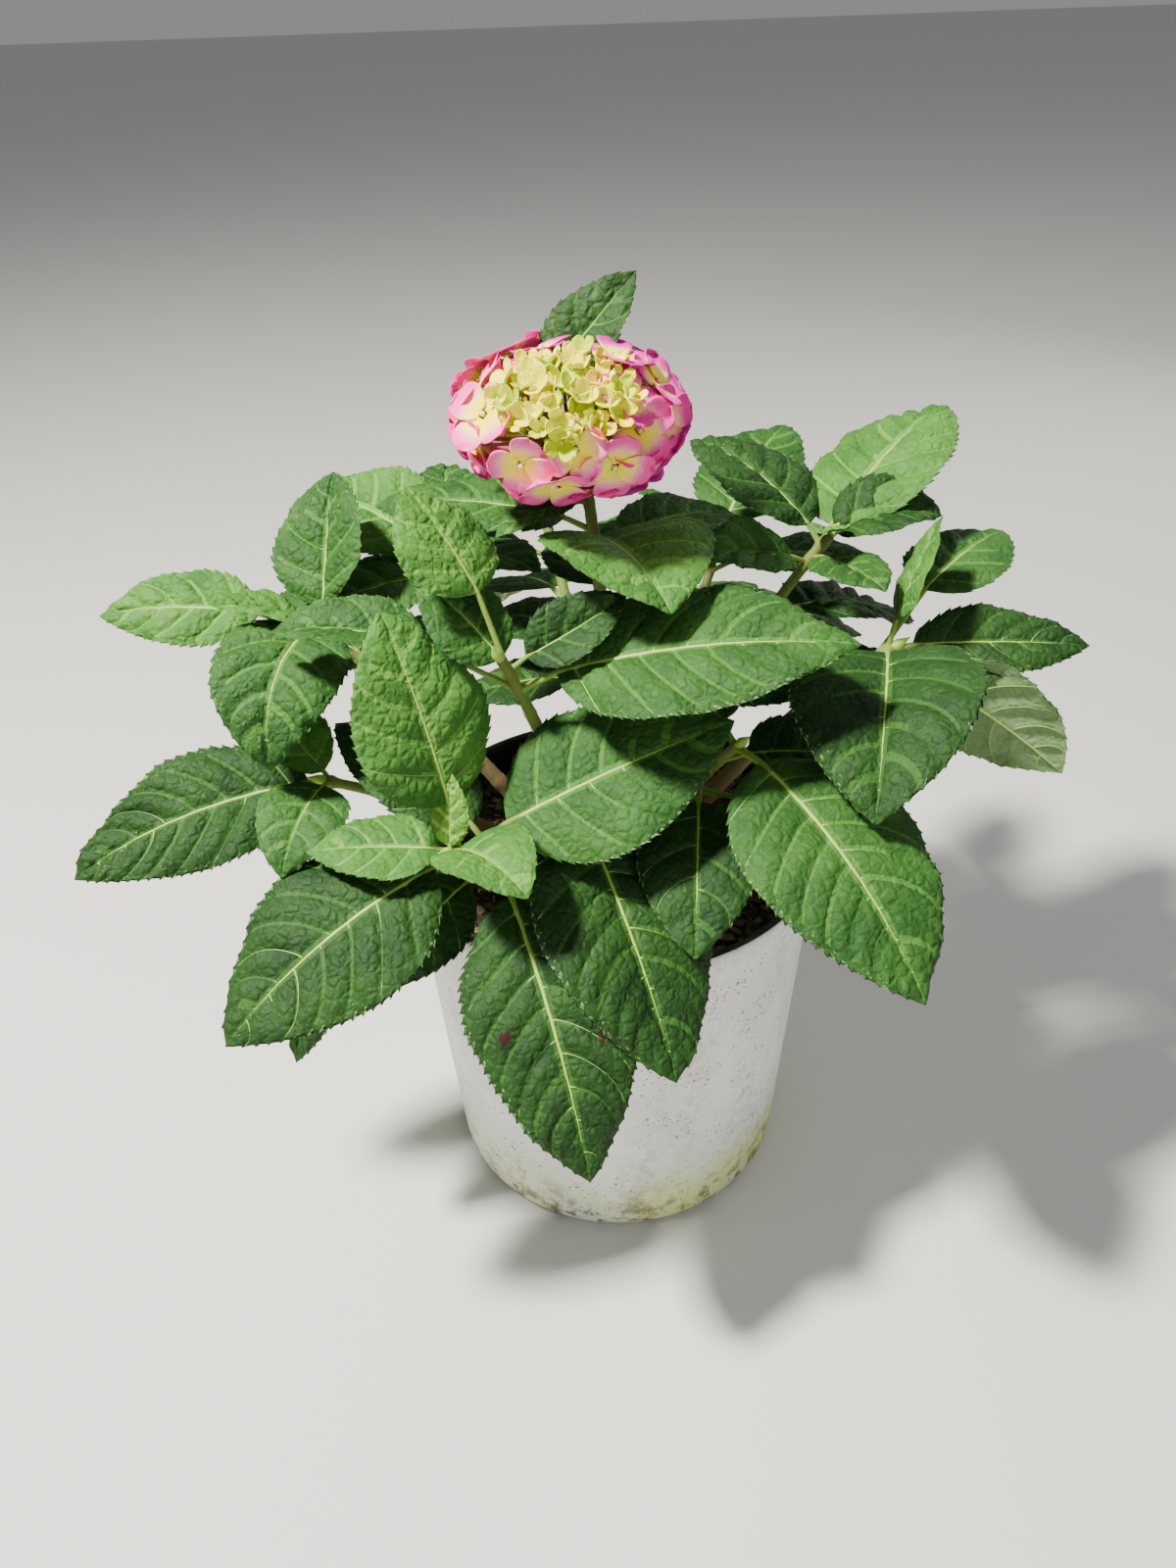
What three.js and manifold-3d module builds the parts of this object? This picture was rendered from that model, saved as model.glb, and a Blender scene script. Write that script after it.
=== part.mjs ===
// Hydrangea shrub in its nursery pot: pot, potting mix, canes, leafy shoots and one flower head.
// Millimetres, +Z up; the origin is the centre of the pot's flat underside, and -Y is the front.
import * as THREE from "three";
import { mergeVertices } from "three/addons/utils/BufferGeometryUtils.js";
import Module from "manifold-3d";

const wasm = await Module();
wasm.setup();

// Pot.
const POT_HEIGHT = 215;
const RIM_RADIUS = 112;
const RIM_DEPTH = 13;
const RIM_STEP = 2.4;
const FOOT_RADIUS = 97;
const FOOT_ROUND = 7;
const WALL = 2;
const FLOOR = 3;
const FOOT_NOTCHES = 8;
const NOTCH = { width: 9, depth: 2.2, length: 16 };
const AROUND = 44;

// Potting mix.
const SOIL_TOP = 196;
const GAP = 0.35;

// Canes and shoots.
const CANE_FOOT_RADIUS = 5;
const CANE_TIP_RADIUS = 3.2;
const SHOOT_TIP_RADIUS = 2.3;
const PETIOLE_RADIUS = 1.9;

// Leaf blades.
const BLADE_THICKNESS = 1.8;
const CURL = 26;
const LARGE_LEAF = 95;

// Flower head.
const HEAD_CENTRE = [-15, 0, 439];
const HEAD_RADII = [47, 45, 27];
const HEAD_FOOT = 408.4;
const FLORETS = 30;
const FLORET_RADIUS = 15;
const FLORET_NOTCH = 8.6;
const SLOT_ROOM = 1.6;

const GREEN = 0x4f7f3a;
const STEM_GREEN = 0x7c8a4a;
const CANE_BROWN = 0x8a7a4c;
const POT_WHITE = 0xd9d8d2;
const MIX_BROWN = 0x2c231c;
const PETAL_PINK = 0xd98fb4;

// Each shoot: where its cane leaves the mix, where it ends, and its leaves. A leaf is
// [place along the shoot, petiole, heading, rise, droop, length, width, roll, fold], and, where
// the petiole goes another way than the blade, its own heading and rise. Headings are degrees
// from +X to +Y, and the other angles are degrees too.
const SHOOTS = {
  flower: {
    foot: [6, 4], tip: [-8, 2, 408],
    leaves: [
      [0.9, 62, 20, 45, 2, 58, 34, -38, 26, 160, 73],
      [0.84, 4, -64, 14, 50, 70, 84, 6, 24],
      [0.86, 14, 168, 12, 25, 92, 50, 8, 14],
      [0.94, 8, 215, 6, 30, 44, 24, 0, 20],
      [0.8, 14, 25, 12, 30, 62, 42, -10, 14],
      [0.62, 20, 100, 16, 30, 62, 44, 0, 14],
      [0.5, 24, -24, 6, 26, 78, 52, -10, 12],
      [0.44, 22, 184, 4, 30, 56, 44, 0, 14],
      [0.7, 22, 40, 4, 26, 78, 54, 0, 14],
      [0.55, 20, 150, 4, 28, 56, 50, 0, 14],
    ],
  },
  front: {
    foot: [-14, -14], tip: [-48, -60, 354],
    leaves: [
      [0.93, 36, 138, 54, 22, 56, 56, -6, 6],
      [0.91, 8, 154, 50, 24, 52, 38, 24, 12],
      [0.93, 10, 14, 22, -10, 52, 32, -40, 34],
      [0.83, 20, -8, 18, 22, 132, 74, -20, 12],
      [0.83, 46, 176, 18, 30, 70, 38, 10, 34],
      [0.42, 34, -69, -20, 34, 128, 86, 10, 12],
      [0.56, 22, 4, 6, 26, 64, 48, -16, 12],
      [0.48, 12, -52, 10, 24, 58, 48, 0, 12],
    ],
  },
  low_front: {
    foot: [-22, -24], tip: [-74, -94, 276],
    leaves: [
      [0.95, 24, 128, 74, 22, 90, 66, 0, 10],
      [1.0, 3, 80, 72, 10, 34, 18, 0, 20],
      [0.98, 6, 180, 8, 16, 60, 38, 12, 14],
      [0.98, 5, -50, 30, 60, 52, 46, 0, 26],
      [0.86, 20, 212, -10, 34, 120, 78, 22, 10],
      [0.88, 22, 11, 24, 10, 112, 76, -30, 10],
      [0.72, 26, -70, -26, 42, 134, 74, -14, 10],
      [0.6, 24, 215, -22, 30, 66, 50, 10, 12],
      [0.72, 16, 142, 30, 30, 92, 52, 0, 12],
    ],
  },
  left: {
    foot: [-30, 4], tip: [-142, 8, 336],
    leaves: [
      [0.97, 32, 176, 10, 24, 80, 42, 34, 12],
      [0.97, 8, 256, 26, 120, 92, 62, 10, 14],
      [0.97, 14, 86, 48, 14, 72, 54, 20, 30],
      [0.95, 10, 205, 40, 30, 50, 38, 0, 24],
      [0.84, 16, 118, 8, 30, 92, 56, 0, 14],
      [0.6, 18, 262, 18, 30, 56, 42, 0, 14],
    ],
  },
  low_left: {
    foot: [-28, -10], tip: [-138, -40, 280],
    leaves: [
      [0.98, 10, 196, 1, 34, 120, 60, 32, 14],
      [0.98, 8, 255, 10, 60, 56, 42, 10, 16],
      [0.98, 6, 150, 44, 10, 54, 38, 0, 24],
      [0.7, 24, 228, -38, 35, 124, 52, 10, 14],
    ],
  },
  right: {
    foot: [26, 0], tip: [138, -4, 322],
    leaves: [
      [0.98, 10, -104, 9, 52, 110, 88, -8, 26],
      [0.98, 12, -4, 4, 10, 84, 40, -30, 16],
      [0.98, 16, 34, 66, 6, 52, 46, 40, 14],
      [0.94, 42, 40, 24, 30, 66, 52, 0, 12],
      [0.94, 24, -18, -26, 14, 86, 64, 74, 12],
      [0.76, 20, 50, -4, 34, 70, 50, 0, 14],
    ],
  },
  low_right: {
    foot: [16, -16], tip: [58, -52, 300],
    leaves: [
      [0.98, 18, -60, -7, 42, 130, 84, -6, 8],
      [0.98, 14, 118, 20, 40, 90, 56, 0, 12],
      [0.84, 14, 4, 2, 24, 60, 46, -20, 12],
      [0.66, 14, 150, 8, 30, 44, 34, 0, 14],
      [0.6, 64, -12, -18, 66, 56, 36, 0, 20],
      [0.66, 16, -96, -12, 34, 80, 56, 0, 12],
      [0.5, 16, -60, 6, 30, 60, 46, 0, 12],
    ],
  },
  back_right: {
    foot: [20, 16], tip: [112, 40, 362],
    leaves: [
      [0.96, 12, 46, 32, 28, 106, 74, 10, 12],
      [0.96, 12, 134, 36, 40, 84, 56, 0, 14],
      [0.98, 6, 0, 30, 50, 54, 44, -20, 34],
      [1.0, 4, 250, 30, 20, 34, 22, 0, 24],
      [0.92, 10, -64, 10, 20, 48, 38, 0, 14],
      [0.9, 10, 205, 18, 10, 66, 42, 20, 30],
      [0.7, 20, 34, -8, 34, 100, 62, 0, 14],
      [0.66, 14, 292, 0, 20, 46, 42, 0, 14],
    ],
  },
  back_left: {
    foot: [-16, 22], tip: [-88, 58, 352],
    leaves: [
      [0.97, 10, 140, 22, 40, 90, 62, 20, 20],
      [0.97, 10, -40, 20, 30, 64, 44, 0, 14],
      [0.9, 12, 206, 6, 30, 70, 52, 10, 14],
      [0.9, 12, 94, 30, 40, 88, 56, 0, 14],
      [0.64, 20, 150, -10, 34, 104, 64, 0, 14],
      [0.5, 22, 172, -14, 34, 84, 56, 0, 14],
    ],
  },
  rear_left: {
    foot: [0, 30], tip: [-30, 108, 346],
    leaves: [
      [0.97, 12, 100, 36, 34, 96, 62, 0, 14],
      [0.97, 12, -50, 50, 30, 66, 44, 0, 14],
      [0.86, 16, 8, 18, 34, 52, 40, 0, 14],
      [0.86, 16, 186, 14, 36, 90, 58, 0, 14],
      [0.7, 22, 112, -10, 40, 112, 70, 0, 14],
      [0.5, 20, 58, -6, 36, 84, 60, 0, 14],
    ],
  },
  rear_right: {
    foot: [24, 30], tip: [66, 104, 336],
    leaves: [
      [0.97, 12, 60, 34, 34, 92, 60, 0, 14],
      [0.97, 12, 200, 46, 30, 50, 38, 0, 14],
      [0.86, 16, -20, 20, 34, 78, 50, 0, 14],
      [0.7, 22, 84, -12, 40, 112, 72, 0, 14],
      [0.66, 22, 18, -4, 36, 92, 58, 0, 14],
      [0.48, 20, 128, -10, 36, 84, 58, 0, 14],
    ],
  },
};

const rad = THREE.MathUtils.degToRad;
const vec = (x, y, z) => new THREE.Vector3(x, y, z);

function heading(turn, rise) {
  const h = rad(turn);
  const p = rad(rise);
  return vec(Math.cos(h) * Math.cos(p), Math.sin(h) * Math.cos(p), Math.sin(p));
}

// One point of a shoot: a curve from the mix that leans over towards its tip.
function shootPoint(shoot, t) {
  const [fx, fy] = shoot.foot;
  const [tx, ty, tz] = shoot.tip;
  const s = 1 - t;
  const foot = vec(fx, fy, SOIL_TOP + GAP);
  const knee = vec(0.6 * fx + 0.4 * tx, 0.6 * fy + 0.4 * ty, SOIL_TOP + 0.62 * (tz - SOIL_TOP));
  return foot
    .multiplyScalar(s * s)
    .addScaledVector(knee, 2 * s * t)
    .addScaledVector(vec(tx, ty, tz), t * t);
}

function solidFrom(points, faces) {
  const vertProperties = new Float32Array(points.flatMap((p) => [p.x, p.y, p.z]));
  const mesh = new wasm.Mesh({ numProp: 3, vertProperties, triVerts: new Uint32Array(faces.flat()) });
  return new wasm.Manifold(mesh);
}

// A tapering limb through the given points. Its flat ends face along the two given directions.
function limb(points, radii, sides, ends = []) {
  const ring = [];
  let side = vec(1, 0, 0);
  points.forEach((p, i) => {
    const ahead = points[Math.min(i + 1, points.length - 1)];
    const behind = points[Math.max(i - 1, 0)];
    let along = ahead.clone().sub(behind).normalize();
    if (ends.length && i === 0) along = ends[0];
    if (ends.length && i === points.length - 1) along = ends[1];
    side = side.clone().addScaledVector(along, -side.dot(along)).normalize();
    const across = along.clone().cross(side);
    for (let j = 0; j < sides; j++) {
      const a = (2 * Math.PI * j) / sides;
      ring.push(
        p.clone()
          .addScaledVector(side, radii[i] * Math.cos(a))
          .addScaledVector(across, radii[i] * Math.sin(a)),
      );
    }
  });
  const faces = [];
  for (let i = 0; i + 1 < points.length; i++) {
    for (let j = 0; j < sides; j++) {
      const k = (j + 1) % sides;
      const a = i * sides;
      const b = a + sides;
      faces.push([a + j, a + k, b + j], [a + k, b + k, b + j]);
    }
  }
  const last = (points.length - 1) * sides;
  for (let j = 1; j + 1 < sides; j++) {
    faces.push([0, j + 1, j], [last, last + j, last + j + 1]);
  }
  return solidFrom(ring, faces);
}

// Half the width of a blade: narrow at both ends, widest before its middle.
function halfWidth(width, u) {
  return Math.max(0.7, 1.39 * width * u ** 0.6 * (1 - u) ** 0.92);
}

// Places along a leaf's midrib: position, direction, upper side and right-hand side.
function midrib(leaf, rows) {
  const fine = 4;
  const at = leaf.base.clone();
  const places = [];
  for (let i = 0; i <= rows * fine; i++) {
    const u = i / (rows * fine);
    const pitch = leaf.rise - leaf.droop * u ** 1.2;
    if (i % fine === 0) {
      const along = heading(leaf.heading, pitch);
      const up = heading(leaf.heading, pitch + 90);
      const side = along.clone().cross(up);
      const c = Math.cos(rad(leaf.roll));
      const s = Math.sin(rad(leaf.roll));
      places.push({
        u,
        at: at.clone(),
        right: side.clone().multiplyScalar(c).addScaledVector(up, s),
        upper: up.clone().multiplyScalar(c).addScaledVector(side, -s),
      });
    }
    const next = leaf.rise - leaf.droop * (u + 0.5 / (rows * fine)) ** 1.2;
    at.addScaledVector(heading(leaf.heading, next), leaf.length / (rows * fine));
  }
  return places;
}

// A blade: folded up along its midrib, curling down towards its edges, one thickness all over.
function blade(leaf, thickness = BLADE_THICKNESS) {
  const large = leaf.length > LARGE_LEAF;
  const rows = large ? 5 : 4;
  const half = large ? 2 : 1;
  const columns = 2 * half + 1;
  const upper = [];
  const lower = [];
  for (const place of midrib(leaf, rows)) {
    const w = halfWidth(leaf.width, place.u);
    for (let j = -half; j <= half; j++) {
      const v = Math.abs(j) / half;
      const slope = rad(leaf.fold - CURL * v);
      const c = rad(CURL);
      const out = (Math.sin(rad(leaf.fold)) - Math.sin(slope)) / c;
      const lift = (Math.cos(slope) - Math.cos(rad(leaf.fold))) / c;
      const turn = Math.sign(j);
      const p = place.at
        .clone()
        .addScaledVector(place.right, turn * w * out)
        .addScaledVector(place.upper, w * lift);
      const n = place.upper
        .clone()
        .multiplyScalar(j === 0 ? 1 : Math.cos(slope))
        .addScaledVector(place.right, -turn * Math.sin(slope));
      upper.push(p.clone().addScaledVector(n, thickness / 2));
      lower.push(p.clone().addScaledVector(n, -thickness / 2));
    }
  }
  const count = upper.length;
  const id = (i, j) => i * columns + j;
  const faces = [];
  const sheet = (a, b, c) => faces.push([a, b, c], [count + a, count + c, count + b]);
  const edge = (a, b) => faces.push([b, a, count + a], [b, count + a, count + b]);
  for (let i = 0; i < rows; i++) {
    for (let j = 0; j + 1 < columns; j++) {
      sheet(id(i, j), id(i, j + 1), id(i + 1, j));
      sheet(id(i, j + 1), id(i + 1, j + 1), id(i + 1, j));
    }
    edge(id(i, columns - 1), id(i + 1, columns - 1));
    edge(id(i + 1, 0), id(i, 0));
  }
  for (let j = 0; j + 1 < columns; j++) {
    edge(id(0, j), id(0, j + 1));
    edge(id(rows, j + 1), id(rows, j));
  }
  return solidFrom([...upper, ...lower], faces);
}

// The leaf of one row of the table, with its base at the end of its petiole.
function leafOf(shoot, row) {
  const [place, petiole, turn, rise, droop, length, width, roll, fold] = row;
  const [stalkTurn = turn, stalkRise = Math.min(80, rise + 12)] = row.slice(9);
  const root = shootPoint(shoot, place);
  const base = root.clone().addScaledVector(heading(stalkTurn, stalkRise), petiole);
  return { root, base, heading: turn, rise, droop, length, width, roll, fold };
}

function petiole(leaf) {
  const inBlade = midrib(leaf, 5)[1].at;
  return limb(
    [leaf.root, leaf.base, inBlade],
    [PETIOLE_RADIUS + 0.4, PETIOLE_RADIUS - 0.3, 1.1],
    4,
  );
}

// Where the bare cane ends and its leafy shoot begins.
function split(shoot) {
  return Math.min(...shoot.leaves.map((row) => row[0])) - 0.08;
}

function shootAlong(shoot, t) {
  return shootPoint(shoot, t + 0.005).sub(shootPoint(shoot, t - 0.005)).normalize();
}

function stemRun(shoot, from, to, radii, sides) {
  const steps = 4;
  const points = [];
  const sizes = [];
  for (let i = 0; i <= steps; i++) {
    points.push(shootPoint(shoot, from + ((to - from) * i) / steps));
    sizes.push(radii[0] + ((radii[1] - radii[0]) * i) / steps);
  }
  const start = from === 0 ? vec(0, 0, 1) : shootAlong(shoot, from);
  return limb(points, sizes, sides, [start, shootAlong(shoot, to)]);
}

function cane(shoot) {
  return stemRun(shoot, 0, split(shoot), [CANE_FOOT_RADIUS, CANE_TIP_RADIUS], 8);
}

function foliage(shoot) {
  const end = split(shoot);
  const speed = shootPoint(shoot, end + 0.01).distanceTo(shootPoint(shoot, end)) / 0.01;
  const start = end + GAP / speed;
  let whole = stemRun(shoot, start, 1, [CANE_TIP_RADIUS, SHOOT_TIP_RADIUS], 8);
  for (const row of shoot.leaves) {
    const leaf = leafOf(shoot, row);
    whole = whole.add(petiole(leaf)).add(blade(leaf));
  }
  return whole;
}

// One floret: four broad sepals around a slightly sunken middle.
function floret(centre, outward, spin, size) {
  const side = vec(0.31, 0.22, 0.92).cross(outward).normalize();
  const across = outward.clone().cross(side);
  const corners = 8;
  const upper = [];
  const lower = [];
  for (let j = 0; j < corners; j++) {
    const a = (2 * Math.PI * j) / corners + spin;
    const r = size * (j % 2 ? FLORET_NOTCH / FLORET_RADIUS : 1);
    const p = centre
      .clone()
      .addScaledVector(side, r * Math.cos(a))
      .addScaledVector(across, r * Math.sin(a))
      .addScaledVector(outward, 0.12 * (r - size));
    upper.push(p.clone().addScaledVector(outward, 0.9));
    lower.push(p.clone().addScaledVector(outward, -0.9));
  }
  const middle = centre.clone().addScaledVector(outward, -0.1 * size);
  const points = [...upper, ...lower];
  points.push(middle.clone().addScaledVector(outward, 0.9));
  points.push(middle.clone().addScaledVector(outward, -0.9));
  const faces = [];
  for (let j = 0; j < corners; j++) {
    const k = (j + 1) % corners;
    faces.push([2 * corners, j, k], [2 * corners + 1, corners + k, corners + j]);
    faces.push([j, corners + j, corners + k], [j, corners + k, k]);
  }
  return solidFrom(points, faces);
}

// The slot in the head for the leaf that stands up through it and for that leaf's petiole.
function leafSlot() {
  const leaf = leafOf(SHOOTS.flower, SHOOTS.flower.leaves[0]);
  const inBlade = midrib(leaf, 5)[1].at;
  const radius = PETIOLE_RADIUS + SLOT_ROOM;
  const stalk = limb([leaf.root, leaf.base, inBlade], [radius, radius, radius], 6);
  const wide = { ...leaf, width: leaf.width + 3 * SLOT_ROOM };
  return blade(wide, BLADE_THICKNESS + 2 * SLOT_ROOM).add(stalk);
}

// The rounded head: florets spread evenly over a core of short stalks.
function flowerHead() {
  const [cx, cy, cz] = HEAD_CENTRE;
  const [rx, ry, rz] = HEAD_RADII;
  const core = new THREE.SphereGeometry(1, 14, 8).rotateX(Math.PI / 2);
  core.scale(rx - 1.5, ry - 1.5, rz - 1.5).translate(cx, cy, cz);
  core.deleteAttribute("normal");
  core.deleteAttribute("uv");
  const g = mergeVertices(core, 1e-3);
  let head = new wasm.Manifold(
    new wasm.Mesh({
      numProp: 3,
      vertProperties: g.attributes.position.array,
      triVerts: new Uint32Array(g.index.array),
    }),
  );
  head = head.add(
    limb([vec(-8, 2, HEAD_FOOT), vec(-10, 2, 416), vec(-13, 1, 428)], [2.6, 3, 4], 8),
  );
  const lowest = -0.72;
  for (let i = 0; i < FLORETS; i++) {
    const h = 1 - ((1 - lowest) * (i + 0.5)) / FLORETS;
    const around = i * 2.39996;
    const flat = Math.sqrt(1 - h * h);
    const way = vec(flat * Math.cos(around), flat * Math.sin(around), h);
    const centre = vec(cx + rx * way.x, cy + ry * way.y, cz + rz * way.z);
    const outward = vec(way.x / rx, way.y / ry, way.z / rz).normalize();
    outward.addScaledVector(vec(Math.cos(i * 1.7), Math.sin(i * 2.3), 0.3), 0.16).normalize();
    head = head.add(floret(centre, outward, i * 1.1, FLORET_RADIUS * (0.9 + 0.1 * Math.sin(i * 3.1))));
  }
  const pieces = head.subtract(leafSlot()).decompose();
  return pieces.sort((a, b) => b.volume() - a.volume())[0];
}

function turned(profile) {
  const g = new THREE.LatheGeometry(profile.map(([r, z]) => new THREE.Vector2(r, z)), AROUND);
  g.rotateX(Math.PI / 2);
  g.deleteAttribute("normal");
  g.deleteAttribute("uv");
  const closed = mergeVertices(g, 1e-3);
  const index = Array.from(closed.index.array);
  const faces = [];
  for (let i = 0; i < index.length; i += 3) {
    const [a, b, c] = index.slice(i, i + 3);
    if (a !== b && b !== c && c !== a) faces.push(a, b, c);
  }
  const mesh = new wasm.Mesh({
    numProp: 3,
    vertProperties: closed.attributes.position.array,
    triVerts: new Uint32Array(faces),
  });
  return new wasm.Manifold(mesh);
}

// Outer radius of the pot's tapering side at a height.
function sideRadius(z) {
  return FOOT_RADIUS + ((RIM_RADIUS - RIM_STEP - FOOT_RADIUS) * z) / POT_HEIGHT;
}

function pot() {
  const outer = [[0, 0], [FOOT_RADIUS - FOOT_ROUND, 0]];
  for (let i = 1; i <= 4; i++) {
    const a = (i * Math.PI) / 8;
    outer.push([
      FOOT_RADIUS - FOOT_ROUND + FOOT_ROUND * Math.sin(a),
      FOOT_ROUND * (1 - Math.cos(a)),
    ]);
  }
  const under = POT_HEIGHT - RIM_DEPTH;
  outer.push([sideRadius(under), under], [RIM_RADIUS - 0.6, under + 1], [RIM_RADIUS, under + 3]);
  outer.push([RIM_RADIUS, POT_HEIGHT - 1], [RIM_RADIUS - 1, POT_HEIGHT]);
  const inner = [
    [RIM_RADIUS - 3.6, POT_HEIGHT],
    [RIM_RADIUS - 4.6, POT_HEIGHT - 1],
    [sideRadius(under) - WALL, under],
    [sideRadius(FLOOR + 6) - WALL, FLOOR + 6],
    [sideRadius(FLOOR) - WALL - 6, FLOOR],
    [0, FLOOR],
  ];
  let body = turned([...outer, ...inner]);
  for (let i = 0; i < FOOT_NOTCHES; i++) {
    const notch = wasm.Manifold.cube([NOTCH.length, NOTCH.width, 2 * NOTCH.depth], true)
      .translate([FOOT_RADIUS - 3, 0, 0])
      .rotate([0, 0, (360 * (i + 0.5)) / FOOT_NOTCHES]);
    body = body.subtract(notch);
  }
  return body;
}

function pottingMix() {
  const low = FLOOR + GAP;
  const clear = WALL + GAP;
  return turned([
    [0, low],
    [sideRadius(FLOOR) - clear - 6.3, low],
    [sideRadius(FLOOR + 6) - clear - 0.1, FLOOR + 6.4],
    [sideRadius(SOIL_TOP) - clear, SOIL_TOP],
    [0, SOIL_TOP],
  ]);
}

const group = new THREE.Group();

function addNode(name, solid, color, roughness) {
  const { numProp, vertProperties, triVerts } = solid.getMesh();
  const positions = new Float32Array((vertProperties.length / numProp) * 3);
  for (let i = 0; i < positions.length / 3; i++) {
    positions.set(vertProperties.subarray(i * numProp, i * numProp + 3), i * 3);
  }
  const geometry = new THREE.BufferGeometry();
  geometry.setAttribute("position", new THREE.BufferAttribute(positions, 3));
  geometry.setIndex(new THREE.BufferAttribute(triVerts, 1));
  const material = new THREE.MeshStandardMaterial({ color, roughness });
  const mesh = new THREE.Mesh(geometry, material);
  mesh.name = name;
  group.add(mesh);
}

addNode("pot", pot(), POT_WHITE, 0.5);
addNode("potting_mix", pottingMix(), MIX_BROWN, 0.95);
for (const [name, shoot] of Object.entries(SHOOTS)) {
  addNode("cane_" + name, cane(shoot), CANE_BROWN, 0.8);
  addNode("foliage_" + name, foliage(shoot), name === "flower" ? STEM_GREEN : GREEN, 0.6);
}
addNode("flower_head", flowerHead(), PETAL_PINK, 0.6);

export default group;
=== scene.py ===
import logging
import math
from dataclasses import dataclass
from enum import Enum
from typing import Callable, Sequence

import bpy
import numpy as np
from mathutils import Matrix


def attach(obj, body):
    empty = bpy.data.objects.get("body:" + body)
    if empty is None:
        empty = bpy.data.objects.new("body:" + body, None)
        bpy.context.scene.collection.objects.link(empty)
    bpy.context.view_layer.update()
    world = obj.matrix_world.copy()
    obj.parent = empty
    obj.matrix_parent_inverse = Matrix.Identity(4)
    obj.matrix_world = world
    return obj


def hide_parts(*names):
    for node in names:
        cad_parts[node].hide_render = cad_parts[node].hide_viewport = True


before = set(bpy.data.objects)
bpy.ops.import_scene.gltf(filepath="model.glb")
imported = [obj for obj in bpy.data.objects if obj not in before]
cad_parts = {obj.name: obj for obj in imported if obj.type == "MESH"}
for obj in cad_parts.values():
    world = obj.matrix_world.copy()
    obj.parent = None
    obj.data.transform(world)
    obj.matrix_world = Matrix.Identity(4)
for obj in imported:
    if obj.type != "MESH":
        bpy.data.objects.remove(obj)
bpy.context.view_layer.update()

log = logging.getLogger("hydrangea")
Color = tuple[int, int, int]
Place = tuple[float, float, float]

# Millimetres, except MM itself, which is one millimetre in Blender's metres; radians.
MM = 0.001
MIX_TOP = 196.0
GAP = 0.35
GOLDEN_TURN = 2.39996
ROUND = 2 * math.pi

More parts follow.
